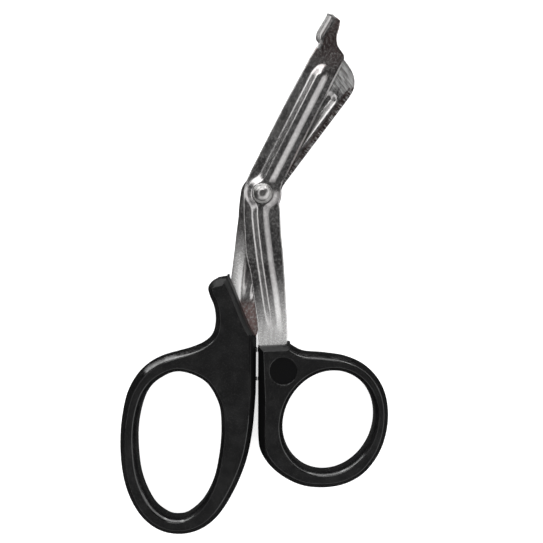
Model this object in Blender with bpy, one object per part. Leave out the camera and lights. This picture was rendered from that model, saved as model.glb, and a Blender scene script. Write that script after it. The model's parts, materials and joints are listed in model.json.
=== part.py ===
"""Bandage scissors with moulded handles, closed and lying on the undersides of the handles.

+X points to the thumb ring, +Y to the blade tips and +Z up. Every size below is in millimetres, and the
meshes are made in metres. The pieces are drawn round the pivot: x and y are zero on its axis, and z is zero
on the parting plane between the two stamped sheets. The root empty then moves the whole part so that its
origin is the bottom centre of its box.
"""
from dataclasses import dataclass
from math import ceil, cos, hypot, pi, radians, sin, sqrt

import bmesh
import bpy
from mathutils import Vector

MM = 0.001

# Stamped sheets
SHEET = 1.3              # thickness of the stainless sheet
SHEET_GAP = 0.3          # free space between the inner faces of the two sheets
BOSS_RADIUS = 6.5        # foot of the pressed boss round the pivot
BOSS_MARGIN = 0.35       # flat sheet left outside the boss where the outline follows it
BOSS_FLANK = 2.5         # width of the boss's flank, from its foot in to its flat top
BOSS_RIM = BOSS_RADIUS + BOSS_MARGIN
SHANK_WAIST = 0.5        # how much narrower than that rim each shank starts, on the cutting side
PRESS_LIFT = 1.1         # how far the boss and the ribs are pressed out
EDGE_LAND = 0.5          # ground land along a cutting edge, seen from outside
EDGE_THICK = 0.3         # steel left at the very edge
ROLLOVER = 0.2           # rounding that the punch leaves on the outer corners
NARROW_SECTION = 4.2     # width under which the lands shrink with the sheet

# Lower blade, which the thumb drives: sizes along and across its own line
LOWER_LEAN = 27.0        # degrees from +Y towards +X
LOWER_SPINE = 7.45       # pivot line to the spine
LOWER_EDGE = 4.45        # pivot line to the cutting edge
LOWER_LENGTH = 57.0      # pivot to the shoulder at the tip
LOWER_RIB_CENTRE = -0.6
LOWER_RIB_HALF = 3.7
LOWER_RIB_END = 48.4     # centre of the rib's round end
LOWER_EDGE_FLARE = 0.3   # how much wider the blade is at its root, on the edge side
LOWER_SPINE_TAPER = 0.4  # how much nearer the spine is along the end of the rib
FOOT_WALL = 1.5          # thickness of the turned-up wall of the foot
FOOT_SLOPE = 0.8         # width of the curve from that wall down to the sheet
FOOT_RISE = 3.0          # height of the wall over the sheet

# Upper blade, fixed in the finger handle
UPPER_LEAN = 36.9
UPPER_SPINE = 4.04
UPPER_EDGE = 7.2
UPPER_LENGTH = 56.4
UPPER_NOSE = 10.0        # length of the rounded nose on the spine side
UPPER_TIP_WIDTH = 0.6
UPPER_NOSE_BULGE = 2.6   # powers that shape the nose: how late it starts to fall, and how fast it falls
UPPER_NOSE_FALL = 0.62
UPPER_RIB_CENTRE = -1.7
UPPER_RIB_HALF = 3.5
UPPER_RIB_END = 42.0

RIB_CROWN = 0.33         # flat top of a rib, as a share of its half width

# Tip of the lower blade: distance past the shoulder, lean of the line across the blade there, overhang past
# the line of the spine, distance in from the line of the cutting edge, share of the foot's full rise there
LOWER_TIP = (
    (15.15, 0.0, 2.31, 11.81, 0.3),
    (12.02, 9.1, 1.29, 7.80, 1.0),
    (8.73, 23.4, 0.93, 6.93, 1.0),
    (5.3, LOWER_LEAN, 1.1, 6.3, 1.0),
    (3.9, LOWER_LEAN, 1.18, 5.58, 1.0),
    (2.6, LOWER_LEAN, 1.25, 4.54, 1.0),
    (1.9, LOWER_LEAN, 1.3, 3.15, 1.0),
    (1.0, LOWER_LEAN, 1.35, 1.35, 1.0),
    (0.4, LOWER_LEAN, 1.1, 0.65, 1.0),
    (-0.4, LOWER_LEAN, 0.35, 0.3, 1.0),
    (-0.75, LOWER_LEAN, -0.35, 0.15, 1.0),
    (-1.0, LOWER_LEAN, -0.85, 0.12, 0.0),
    (-2.5, LOWER_LEAN, -0.65, 0.0, 0.0),
)

# Pivot
RIVET_RADIUS = 2.0
RIVET_CLEARANCE = 0.08   # radial running fit in the sheets and the washer
HEAD_RADIUS = 3.6
HEAD_HEIGHT = 1.9
TAIL_RADIUS = 3.0
TAIL_HEIGHT = 1.25
WASHER_RADIUS = 4.0
WASHER_THICK = 0.5
SEAT_GAP = 0.25          # between pieces that bear on each other at the pivot

# Handles
HANDLE_THICK = 9.6
BEVEL_DROP = 1.9         # height of the outer bevels
HOLE_BEVEL = 1.35        # width of the bevel round each finger hole
HOLE_BEVEL_DROP = 1.5
POCKET_GAP = 0.3         # clearance round the tang in its pocket
NUB_GAP = 0.3            # between the two handles' stop nubs when closed
NUB_HEIGHT = 4.6
NUB_ROOT = 1.2           # how far a nub reaches back into its handle
NUBS = ((-56.0, 1.5), (-66.4, 0.9))     # y and length of each nub
CLOSING_LINE = -2.1      # x of the line where the nubs meet
RECESS_RADIUS = 4.9
RECESS_DEPTH = 0.5
RECESS_CENTRE = (7.4, -63.2)
THUMB_HOLE_CENTRE = (23.6, -81.2)
THUMB_HOLE_LONG = 18.4   # half the long axis
THUMB_HOLE_SHORT = 15.9
THUMB_HOLE_TURN = 64.0   # degrees of the long axis from +X

CURVE_STEP = 2.2         # spacing of points on curved outlines
HOLE_SEGMENTS = 60
ROUND_SEGMENTS = 40

FINGER_CLOSING_EDGE = -2.6   # x of each handle's edge along the gap
THUMB_CLOSING_EDGE = -1.6

# Outlines: x, y, width of the outer bevel there, and "curve" or "corner" for what the outline does there
FINGER_OUTLINE = (
    (-12.1, -29.2, 3.0, "corner"),
    (-15.6, -29.8, 1.9, "corner"),
    (-18.2, -31.4, 1.5, "curve"),
    (-19.5, -33.7, 1.5, "curve"),
    (-18.9, -36.5, 1.5, "curve"),
    (-17.3, -40.5, 1.6, "curve"),
    (-16.8, -45.4, 1.7, "curve"),
    (-17.8, -49.8, 1.9, "curve"),
    (-20.8, -52.9, 2.0, "curve"),
    (-26.0, -55.2, 2.1, "curve"),
    (-36.1, -58.1, 2.4, "curve"),
    (-42.3, -61.8, 2.6, "curve"),
    (-46.5, -67.1, 2.5, "curve"),
    (-49.2, -73.9, 2.2, "curve"),
    (-50.8, -85.0, 2.0, "curve"),
    (-50.5, -96.7, 1.9, "curve"),
    (-48.2, -106.8, 1.9, "curve"),
    (-43.5, -115.2, 1.9, "curve"),
    (-37.2, -120.2, 1.9, "curve"),
    (-29.9, -121.8, 1.9, "curve"),
    (-22.6, -120.3, 1.9, "curve"),
    (-16.2, -115.6, 1.9, "curve"),
    (-10.6, -107.2, 1.9, "curve"),
    (-6.0, -96.4, 1.8, "curve"),
    (-3.6, -85.0, 1.7, "curve"),
    (FINGER_CLOSING_EDGE - 0.15, -71.5, 1.6, "corner"),
    (FINGER_CLOSING_EDGE, -51.2, 2.2, "corner"),
    (-6.6, -43.4, 3.0, "corner"),
)
FINGER_HOLE = (
    (-29.5, -63.6), (-36.6, -66.1), (-41.7, -71.5), (-44.4, -80.5), (-44.9, -90.0), (-43.5, -101.0),
    (-39.4, -110.3), (-34.4, -114.7), (-30.2, -115.6), (-26.2, -114.4), (-21.2, -109.7), (-17.4, -102.0),
    (-15.3, -92.0), (-14.7, -82.5), (-15.8, -74.5), (-20.6, -67.0),
)
THUMB_OUTLINE = (
    (THUMB_CLOSING_EDGE, -54.4, 2.5, "corner"),
    (THUMB_CLOSING_EDGE, -75.0, 2.8, "corner"),
    (-1.5, -88.0, 2.5, "curve"),
    (-0.1, -93.4, 2.1, "curve"),
    (3.7, -98.4, 1.9, "curve"),
    (9.3, -102.4, 1.9, "curve"),
    (15.5, -104.7, 1.9, "curve"),
    (23.0, -105.1, 1.9, "curve"),
    (30.2, -103.6, 1.8, "curve"),
    (36.7, -99.6, 1.8, "curve"),
    (42.0, -92.4, 1.8, "curve"),
    (44.7, -83.6, 1.8, "curve"),
    (44.7, -74.6, 1.8, "curve"),
    (42.1, -67.2, 1.9, "curve"),
    (37.0, -61.6, 1.9, "curve"),
    (30.0, -58.3, 2.0, "curve"),
    (22.0, -57.0, 2.0, "curve"),
    (14.5, -56.3, 2.1, "curve"),
    (9.8, -53.9, 2.4, "corner"),
)

# Shanks below the pivot: y, left edge, right edge, centre of the rib, half width of the rib
LOWER_SHANK = (
    (-8.0, -BOSS_RIM, BOSS_RIM - SHANK_WAIST, -0.3, 3.4),
    (-14.0, -6.5, 6.6, 0.1, 3.4),
    (-20.5, -6.2, 7.3, 0.9, 3.3),
    (-23.5, -5.6, 7.5, 1.4, 3.1),
    (-28.5, -4.4, 7.85, 1.9, 2.8),
    (-36.0, -3.4, 8.3, 2.6, 2.3),
    (-43.0, -2.3, 8.65, 3.1, 1.7),
    (-48.5, -1.5, 8.95, 3.4, 0.9),
    (-50.0, -1.3, 9.0, 3.5, 0.0),
    (-54.6, -0.9, 8.8, 3.9, 0.0),
    (-57.5, 0.0, 6.2, 3.1, 0.0),
    (-61.0, 0.5, 5.3, 2.9, 0.0),
    (-84.0, 0.6, 5.2, 2.9, 0.0),
)
UPPER_SHANK = (
    (-8.0, -8.6, BOSS_RIM - SHANK_WAIST, -0.4, 3.4),
    (-14.0, -9.4, 5.8, -1.4, 3.4),
    (-20.5, -10.1, 5.0, -2.6, 3.2),
    (-27.0, -10.9, 3.3, -3.7, 2.9),
    (-33.5, -11.7, 1.6, -4.8, 2.3),
    (-38.5, -12.1, 0.2, -5.4, 1.5),
    (-41.0, -12.3, -0.5, -5.8, 0.0),
    (-46.5, -12.7, -2.4, -7.0, 0.0),
    (-50.0, -12.9, -4.0, -8.4, 0.0),
    (-56.0, -12.6, -5.4, -9.0, 0.0),
    (-62.0, -12.0, -6.2, -9.1, 0.0),
    (-88.0, -11.9, -6.8, -9.35, 0.0),
)
LOWER_ENTRY = -49.0      # y from which the pocket is cut for the lower blade's tang
UPPER_ENTRY = -22.0

SECTION = (-1.0, -0.84, -0.67, -0.5, -0.33, 0.0, 0.33, 0.5, 0.67, 0.84, 1.0)


@dataclass
class Station:
    """One line across a stamped sheet, with what the press does to it there."""

    x: float
    y: float
    lean: float
    left: float
    right: float
    rib_centre: float
    rib_half: float
    rib_past: float = 0.0
    left_land: bool = False
    right_land: bool = False
    foot: float = 0.0


def direction(lean):
    """Return the unit vector that leans this many degrees from +Y towards +X."""
    return Vector((sin(radians(lean)), cos(radians(lean))))


def normal(lean):
    """Return the unit vector to the right of that direction."""
    return Vector((cos(radians(lean)), -sin(radians(lean))))


def press_profile(depth):
    """Return the share of the full lift at a share of the way up a pressed flank."""
    depth = min(max(depth, 0.0), 1.0)
    return depth * depth * (3.0 - 2.0 * depth)


def rib_foot(station):
    """Return the half width of the rib's foot at a station, zero past its round end."""
    return sqrt(max(station.rib_half ** 2 - station.rib_past ** 2, 0.0))


def boss_foot(station):
    """Return the place across the station nearest the pivot, and the boss's half width there."""
    place = Vector((station.x, station.y))
    off_axis = place.dot(direction(station.lean))
    centre = -place.dot(normal(station.lean))
    return centre, sqrt(max(BOSS_RADIUS ** 2 - off_axis ** 2, 0.0))


def pressed_lift(station, across):
    """Return how far the sheet is pressed out at a place across the station."""
    lift = 0.0
    if station.rib_half > 0.0:
        distance = hypot(across - station.rib_centre, station.rib_past)
        crown = RIB_CROWN * station.rib_half
        fade = min(station.rib_half / LOWER_RIB_HALF + 0.1, 1.0)
        lift = fade * press_profile((station.rib_half - distance) / (station.rib_half - crown))
    place = Vector((station.x, station.y)) + across * normal(station.lean)
    boss = press_profile((BOSS_RADIUS - place.length) / BOSS_FLANK)
    return PRESS_LIFT * max(lift, boss)


def section_places(station):
    """Return the places across a station where the sheet gets points."""
    spans = []
    if rib_foot(station) > 0.3:
        spans.append((station.rib_centre, rib_foot(station)))
    centre, half = boss_foot(station)
    if half > 0.3:
        spans.append((centre, half))
    if not spans:
        spans.append((0.5 * (station.left + station.right), 0.25 * (station.right - station.left)))
    width = station.right - station.left
    narrow = min(1.0, width / NARROW_SECTION)
    wall = FOOT_WALL if station.foot else 0.3
    left_edge = narrow * (EDGE_LAND if station.left_land else wall)
    right_edge = narrow * (EDGE_LAND if station.right_land else 0.3)
    step = 0.2 * narrow
    foot_of_edge = station.left + left_edge + (narrow * FOOT_SLOPE if station.foot else step)
    low = max(min(c - h for c, h in spans), foot_of_edge + step)
    high = min(max(c + h for c, h in spans), station.right - right_edge - step)
    middle = [low + (high - low) * 0.5 * (share + 1.0) for share in SECTION]
    return [station.left, station.left + left_edge, foot_of_edge, *middle,
            station.right - right_edge, station.right]


def outer_heights(station, places):
    """Return the thickness of the sheet at each place, with its lands, rollover and foot."""
    heights = [SHEET] * len(places)
    heights[0] = EDGE_THICK if station.left_land else SHEET - ROLLOVER
    heights[-1] = EDGE_THICK if station.right_land else SHEET - ROLLOVER
    if station.foot:
        heights[0] = SHEET + station.foot
        heights[1] = SHEET + station.foot
        heights[2] = SHEET + 0.15 * station.foot
    return heights


def section_points(station, side):
    """Return the inner and outer rows of points of a station; side is 1 above the parting plane, else -1."""
    inner = []
    outer = []
    places = section_places(station)
    for across, height in zip(places, outer_heights(station, places)):
        place = Vector((station.x, station.y)) + across * normal(station.lean)
        base = 0.5 * SHEET_GAP + pressed_lift(station, across)
        inner.append(Vector((place.x, place.y, side * base)) * MM)
        outer.append(Vector((place.x, place.y, side * (base + height))) * MM)
    return inner, outer


def add_ring_faces(bm, ring_a, ring_b):
    """Join two closed rings of as many vertices with quads."""
    count = len(ring_a)
    for index in range(count):
        after = (index + 1) % count
        bm.faces.new((ring_a[index], ring_a[after], ring_b[after], ring_b[index]))


def loft_sections(bm, sections):
    """Make a closed solid through pairs of inner and outer rows of points."""
    rings = []
    for inner, outer in sections:
        rings.append([bm.verts.new(point) for point in inner + outer[::-1]])
    for ring_a, ring_b in zip(rings, rings[1:]):
        add_ring_faces(bm, ring_a, ring_b)
    for ring in (rings[0], rings[-1]):
        last = len(ring) - 1
        for index in range(len(ring) // 2 - 1):
            bm.faces.new((ring[index], ring[index + 1], ring[last - index - 1], ring[last - index]))
    bmesh.ops.recalc_face_normals(bm, faces=bm.faces)


def smooth_mesh(mesh, angle):
    """Shade a mesh smooth, with sharp edges past an angle in degrees."""
    mesh.shade_smooth()
    mesh.set_sharp_from_angle(angle=radians(angle))


def new_object(name, bm, parent, material=None, angle=35.0):
    """Turn a bmesh into a named object under a parent empty."""
    mesh = bpy.data.meshes.new(name)
    bm.to_mesh(mesh)
    bm.free()
    smooth_mesh(mesh, angle)
    part = bpy.data.objects.new(name, mesh)
    bpy.context.collection.objects.link(part)
    part.parent = parent
    if material:
        mesh.materials.append(material)
    return part


def combine(part, tool, operation):
    """Cut a part with a tool, or join the tool to it, with an exact Boolean."""
    tool.hide_render = True
    tool.display_type = "WIRE"
    modifier = part.modifiers.new(tool.name, "BOOLEAN")
    modifier.operation = operation
    modifier.solver = "EXACT"
    modifier.object = tool


def settle(part, angle=30.0):
    """Make a part's Booleans its own mesh, shade it, and delete the tools that cut it."""
    tools = [modifier.object for modifier in part.modifiers]
    graph = bpy.context.evaluated_depsgraph_get()
    mesh = bpy.data.meshes.new_from_object(part.evaluated_get(graph), depsgraph=graph)
    part.modifiers.clear()
    part.data = mesh
    mesh.name = part.name
    smooth_mesh(mesh, angle)
    for tool in tools:
        bpy.data.objects.remove(tool, do_unlink=True)


def make_material(name, colour, metallic, roughness):
    """Return a Principled material."""
    material = bpy.data.materials.new(name)
    material.use_nodes = True
    shader = material.node_tree.nodes["Principled BSDF"]
    shader.inputs["Base Color"].default_value = (*colour, 1.0)
    shader.inputs["Metallic"].default_value = metallic
    shader.inputs["Roughness"].default_value = roughness
    return material


def lower_blade_stations():
    """Return the lines across the lower blade, from its tip to its tang."""
    spine = -LOWER_SPINE
    edge = LOWER_EDGE
    stations = []
    for past, lean, overhang, inset, share in LOWER_TIP:
        stations.append((LOWER_LENGTH + past, lean, spine - overhang, edge - inset, 0.0, share * FOOT_RISE))
    for past in (1.0, 0.92, 0.75, 0.5, 0.25, 0.0):
        along = LOWER_RIB_END + past * LOWER_RIB_HALF
        stations.append((along, LOWER_LEAN, spine + LOWER_SPINE_TAPER, edge, past * LOWER_RIB_HALF, 0.0))
    for along in (0.7 * LOWER_RIB_END, 0.45 * LOWER_RIB_END, 1.9 * BOSS_RADIUS, 1.25 * BOSS_RADIUS):
        flare = LOWER_EDGE_FLARE * (1.0 - along / LOWER_RIB_END)
        stations.append((along, LOWER_LEAN, spine, edge + flare, 0.0, 0.0))
    result = []
    for along, lean, left, right, past, rise in stations:
        place = along * direction(LOWER_LEAN)
        half = LOWER_RIB_HALF if along <= LOWER_RIB_END + LOWER_RIB_HALF else 0.0
        result.append(Station(place.x, place.y, lean, left, right, LOWER_RIB_CENTRE, half, past,
                              right_land=rise == 0.0, foot=rise))
    result += pivot_stations(LOWER_LEAN, -spine, edge + LOWER_EDGE_FLARE, -LOWER_SHANK[0][1], LOWER_SHANK[0][2],
                             LOWER_RIB_CENTRE, LOWER_RIB_HALF)
    result += shank_stations(LOWER_SHANK)
    return result


def upper_blade_stations():
    """Return the lines across the upper blade, from its tip to its tang."""
    stations = []
    nose_rise = UPPER_SPINE + UPPER_EDGE
    for share in (1.0, 0.985, 0.95, 0.9, 0.82, 0.72, 0.6, 0.45, 0.3, 0.0):
        along = UPPER_LENGTH - UPPER_NOSE * (1.0 - share)
        rounded = (1.0 - share ** UPPER_NOSE_BULGE) ** UPPER_NOSE_FALL
        right = -UPPER_EDGE + UPPER_TIP_WIDTH + (nose_rise - UPPER_TIP_WIDTH) * rounded
        stations.append((along, right, 0.0))
    for past in (1.0, 0.9, 0.7, 0.4, 0.0):
        stations.append((UPPER_RIB_END + past * UPPER_RIB_HALF, UPPER_SPINE, past * UPPER_RIB_HALF))
    stations.sort(key=lambda row: -row[0])
    for along in (0.7 * UPPER_RIB_END, 0.45 * UPPER_RIB_END, 1.9 * BOSS_RADIUS, 1.25 * BOSS_RADIUS):
        stations.append((along, UPPER_SPINE, 0.0))
    result = []
    for along, right, past in stations:
        place = along * direction(UPPER_LEAN)
        half = UPPER_RIB_HALF if along <= UPPER_RIB_END + UPPER_RIB_HALF else 0.0
        result.append(Station(place.x, place.y, UPPER_LEAN, -UPPER_EDGE, right, UPPER_RIB_CENTRE, half, past,
                              left_land=along > BOSS_RADIUS))
    result += pivot_stations(UPPER_LEAN, UPPER_EDGE, UPPER_SPINE, -UPPER_SHANK[0][1], UPPER_SHANK[0][2],
                             UPPER_RIB_CENTRE, UPPER_RIB_HALF)
    result += shank_stations(UPPER_SHANK)
    return result


def pivot_stations(lean, blade_left, blade_right, shank_left, shank_right, rib_centre, rib_half):
    """Return the lines across a boss, which turn from the blade's line to the shank's."""
    result = []
    for share in (0.95, 0.75, 0.5, 0.25, 0.0, -0.25, -0.5, -0.75, -0.95):
        turn = 0.5 * (share + 1.0)
        along = share * BOSS_RADIUS
        line = lean * press_profile(turn)
        place = along * direction(lean if along > 0.0 else 0.0)
        off_axis = place.dot(direction(line))
        centre = -place.dot(normal(line))
        round_half = sqrt(max(BOSS_RIM ** 2 - off_axis ** 2, 0.0))
        left = max(shank_left + (blade_left - shank_left) * turn, round_half - centre)
        right = max(shank_right + (blade_right - shank_right) * turn, round_half + centre)
        result.append(Station(place.x, place.y, line, -left, right, rib_centre * turn, rib_half))
    return result


def shank_stations(rows):
    """Return the lines across a shank and its tang."""
    return [Station(0.0, y, 0.0, left, right, centre, half) for y, left, right, centre, half in rows]


def make_sheet(name, stations, side, parent, material):
    """Make one stamped sheet with its pivot hole."""
    bm = bmesh.new()
    loft_sections(bm, [section_points(station, side) for station in stations])
    sheet = new_object(name, bm, parent, material, 28.0)
    bm = bmesh.new()
    bmesh.ops.create_cone(bm, cap_ends=True, segments=ROUND_SEGMENTS, depth=4.0 * HANDLE_THICK * MM,
                          radius1=(RIVET_RADIUS + RIVET_CLEARANCE) * MM,
                          radius2=(RIVET_RADIUS + RIVET_CLEARANCE) * MM)
    combine(sheet, new_object(name + "_hole", bm, parent), "DIFFERENCE")
    return sheet


def curve_points(before, start, end, after, steps):
    """Return points from start towards end on a Catmull-Rom span, without the end."""
    points = []
    for step in range(steps):
        t = step / steps
        points.append(0.5 * (2.0 * start + (end - before) * t
                             + (2.0 * before - 5.0 * start + 4.0 * end - after) * t * t
                             + (3.0 * start - before - 3.0 * end + after) * t ** 3))
    return points


def closed_outline(rows):
    """Return x, y and bevel width round a closed outline; a span between two corners stays straight."""
    knots = [Vector(row[:3]) for row in rows]
    corner = [row[3] == "corner" for row in rows]
    points = []
    count = len(knots)
    for index, start in enumerate(knots):
        end = knots[(index + 1) % count]
        if corner[index] and corner[(index + 1) % count]:
            points.append(start)
            continue
        before = start if corner[index] else knots[index - 1]
        after = end if corner[(index + 1) % count] else knots[(index + 2) % count]
        steps = max(2, ceil(hypot(end.x - start.x, end.y - start.y) / CURVE_STEP))
        points += curve_points(before, start, end, after, steps)
    return points


def inset_loop(points, width):
    """Return a loop moved inwards; width is a number, or None for each point's own bevel width."""
    result = []
    count = len(points)
    area = sum(points[i - 1].x * points[i].y - points[i].x * points[i - 1].y for i in range(count))
    turn = 1.0 if area > 0.0 else -1.0
    for index, point in enumerate(points):
        back = (point - points[index - 1]).xy.normalized()
        ahead = (points[(index + 1) % count] - point).xy.normalized()
        back_normal = turn * Vector((-back.y, back.x))
        ahead_normal = turn * Vector((-ahead.y, ahead.x))
        middle = (back_normal + ahead_normal).normalized()
        reach = (point.z if width is None else width) / max(middle.dot(ahead_normal), 0.5)
        result.append(Vector((point.x + reach * middle.x, point.y + reach * middle.y, point.z)))
    return result


def loop_verts(bm, points, height):
    """Make the vertices of a loop at one height."""
    return [bm.verts.new(Vector((point.x, point.y, height)) * MM) for point in points]


def fill_between(bm, outer, inner):
    """Fill the flat face between an outer and an inner loop of vertices."""
    edges = []
    for loop in (outer, inner):
        for index, vert in enumerate(loop):
            edges.append(bm.edges.get((loop[index - 1], vert)))
    bmesh.ops.triangle_fill(bm, use_beauty=True, edges=edges)


def make_ring_handle(name, outline, hole, parent, material):
    """Make a handle: a bevelled outer outline round a bevelled finger hole."""
    half = 0.5 * HANDLE_THICK
    bm = bmesh.new()
    flat = inset_loop(outline, None)
    outer = [loop_verts(bm, flat, -half), loop_verts(bm, outline, BEVEL_DROP - half),
             loop_verts(bm, outline, half - BEVEL_DROP), loop_verts(bm, flat, half)]
    wide = inset_loop(hole, -HOLE_BEVEL)
    inner = [loop_verts(bm, wide, -half), loop_verts(bm, hole, HOLE_BEVEL_DROP - half),
             loop_verts(bm, hole, half - HOLE_BEVEL_DROP), loop_verts(bm, wide, half)]
    for rings in (outer, inner):
        for ring_a, ring_b in zip(rings, rings[1:]):
            add_ring_faces(bm, ring_a, ring_b)
    fill_between(bm, outer[0], inner[0])
    fill_between(bm, outer[-1], inner[-1])
    bmesh.ops.recalc_face_normals(bm, faces=bm.faces)
    return new_object(name, bm, parent, material, 30.0)


def cut_tang_pocket(handle, stations, side, entry, parent):
    """Cut the pocket that the moulding leaves round a tang, with clearance on every side."""
    sections = []
    rows = [station for station in stations if station.y < entry]
    for index, station in enumerate(rows):
        y = station.y - (POCKET_GAP if index == len(rows) - 1 else 0.0)
        low = side * (0.5 * SHEET_GAP - POCKET_GAP) * MM
        high = side * (0.5 * SHEET_GAP + SHEET + POCKET_GAP) * MM
        left = (station.left - POCKET_GAP) * MM
        right = (station.right + POCKET_GAP) * MM
        sections.append(([Vector((left, y * MM, low)), Vector((right, y * MM, low))],
                         [Vector((left, y * MM, high)), Vector((right, y * MM, high))]))
    bm = bmesh.new()
    loft_sections(bm, sections)
    combine(handle, new_object(handle.name + "_pocket", bm, parent), "DIFFERENCE")


def join_nubs(handle, edge_x, parent):
    """Join the stop nubs to a handle whose closing edge lies at this x."""
    side = 1.0 if edge_x > CLOSING_LINE else -1.0
    face = CLOSING_LINE + side * 0.5 * NUB_GAP
    root_x = edge_x + side * NUB_ROOT
    for number, (y, length) in enumerate(NUBS):
        bm = bmesh.new()
        bmesh.ops.create_cube(bm, size=MM)
        bmesh.ops.scale(bm, vec=(abs(root_x - face), length, NUB_HEIGHT), verts=bm.verts)
        nub = new_object(f"{handle.name}_nub_{number + 1}", bm, parent)
        nub.location = Vector((0.5 * (root_x + face), y, 0.0)) * MM
        combine(handle, nub, "UNION")


def ellipse_points(centre, long_half, short_half, turn):
    """Return the points of a turned ellipse."""
    along = Vector((cos(radians(turn)), sin(radians(turn)), 0.0))
    across = Vector((-along.y, along.x, 0.0))
    points = []
    for index in range(HOLE_SEGMENTS):
        angle = 2.0 * pi * index / HOLE_SEGMENTS
        points.append(Vector((*centre, 0.0)) + long_half * cos(angle) * along
                      + short_half * sin(angle) * across)
    return points


def cut_recess(handle, parent):
    """Cut the round recess in the upper face of a handle."""
    bm = bmesh.new()
    bmesh.ops.create_cone(bm, cap_ends=True, segments=ROUND_SEGMENTS, depth=2.0 * RECESS_DEPTH * MM,
                          radius1=RECESS_RADIUS * MM, radius2=RECESS_RADIUS * MM)
    cutter = new_object(handle.name + "_recess", bm, parent)
    cutter.location = Vector((*RECESS_CENTRE, 0.5 * HANDLE_THICK)) * MM
    combine(handle, cutter, "DIFFERENCE")


def make_turned(name, profile, parent, material):
    """Spin a profile of radius and height pairs round the pivot axis."""
    bm = bmesh.new()
    verts = [bm.verts.new(Vector((radius, 0.0, height)) * MM) for radius, height in profile]
    edges = [bm.edges.new(pair) for pair in zip(verts, verts[1:])]
    if profile[0][0] > 0.0:
        edges.append(bm.edges.new((verts[-1], verts[0])))
    bmesh.ops.spin(bm, geom=verts + edges, cent=(0.0, 0.0, 0.0), axis=(0.0, 0.0, 1.0), angle=2.0 * pi,
                   steps=ROUND_SEGMENTS)
    bmesh.ops.remove_doubles(bm, verts=bm.verts, dist=0.01 * MM)
    bmesh.ops.recalc_face_normals(bm, faces=bm.faces)
    return new_object(name, bm, parent, material)


def make_rivet(parent, material):
    """Make the one-piece rivet: domed head, plain shank and peened tail."""
    seat = 0.5 * SHEET_GAP + PRESS_LIFT + SHEET + SEAT_GAP
    tail_seat = -(seat + WASHER_THICK + SEAT_GAP)
    profile = [(0.0, seat + HEAD_HEIGHT)]
    for index in range(1, 6):
        angle = 0.5 * pi * index / 5
        profile.append((HEAD_RADIUS * sin(angle), seat + 0.3 + (HEAD_HEIGHT - 0.3) * cos(angle)))
    profile += [(HEAD_RADIUS, seat), (RIVET_RADIUS, seat), (RIVET_RADIUS, tail_seat), (TAIL_RADIUS, tail_seat),
                (TAIL_RADIUS, tail_seat - 0.3 * TAIL_HEIGHT), (0.85 * TAIL_RADIUS, tail_seat - 0.75 * TAIL_HEIGHT),
                (0.6 * TAIL_RADIUS, tail_seat - TAIL_HEIGHT), (0.0, tail_seat - TAIL_HEIGHT)]
    return make_turned("pivot_rivet", profile, parent, material)


def make_washer(parent, material):
    """Make the flat washer under the rivet's tail."""
    top = -(0.5 * SHEET_GAP + PRESS_LIFT + SHEET + SEAT_GAP)
    bore = RIVET_RADIUS + RIVET_CLEARANCE
    profile = [(bore, top), (WASHER_RADIUS, top), (WASHER_RADIUS, top - WASHER_THICK), (bore, top - WASHER_THICK)]
    return make_turned("rivet_washer", profile, parent, material)


def make_empty(name, parent=None):
    """Add an empty that carries pieces."""
    empty = bpy.data.objects.new(name, None)
    bpy.context.collection.objects.link(empty)
    empty.parent = parent
    return empty


def box_of(parts):
    """Return the lowest and highest corners of the parts as built."""
    graph = bpy.context.evaluated_depsgraph_get()
    corners = []
    for part in parts:
        evaluated = part.evaluated_get(graph)
        corners += [evaluated.matrix_world @ vert.co for vert in evaluated.data.vertices]
    low = Vector([min(corner[axis] for corner in corners) for axis in range(3)])
    high = Vector([max(corner[axis] for corner in corners) for axis in range(3)])
    return low, high


def build():
    """Build the scissors."""
    for old in list(bpy.data.objects):
        bpy.data.objects.remove(old, do_unlink=True)
    steel = make_material("brushed_stainless", (0.46, 0.44, 0.43), 1.0, 0.28)
    rivet_steel = make_material("polished_steel", (0.60, 0.59, 0.58), 1.0, 0.18)
    plastic = make_material("black_plastic", (0.018, 0.018, 0.019), 0.0, 0.48)

    root = make_empty("part_origin")
    finger_side = make_empty("finger_side_frame", root)
    thumb_side = make_empty("thumb_side_pivot", root)

    lower = lower_blade_stations()
    upper = upper_blade_stations()
    parts = [make_sheet("lower_blade", lower, 1, thumb_side, steel),
             make_sheet("upper_blade", upper, -1, finger_side, steel),
             make_rivet(finger_side, rivet_steel),
             make_washer(finger_side, rivet_steel)]

    hole = closed_outline([(x, y, 0.0, "curve") for x, y in FINGER_HOLE])
    finger_handle = make_ring_handle("finger_handle", closed_outline(FINGER_OUTLINE), hole, finger_side, plastic)
    join_nubs(finger_handle, FINGER_CLOSING_EDGE, finger_side)
    cut_tang_pocket(finger_handle, upper, -1, UPPER_ENTRY, finger_side)

    hole = ellipse_points(THUMB_HOLE_CENTRE, THUMB_HOLE_LONG, THUMB_HOLE_SHORT, THUMB_HOLE_TURN)
    thumb_handle = make_ring_handle("thumb_handle", closed_outline(THUMB_OUTLINE), hole, thumb_side, plastic)
    join_nubs(thumb_handle, THUMB_CLOSING_EDGE, thumb_side)
    cut_tang_pocket(thumb_handle, lower, 1, LOWER_ENTRY, thumb_side)
    cut_recess(thumb_handle, thumb_side)
    parts += [finger_handle, thumb_handle]

    bpy.context.view_layer.update()
    for part in parts:
        settle(part)
    low, high = box_of(parts)
    root.location = (-0.5 * (low.x + high.x), -0.5 * (low.y + high.y), -low.z)


build()
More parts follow.
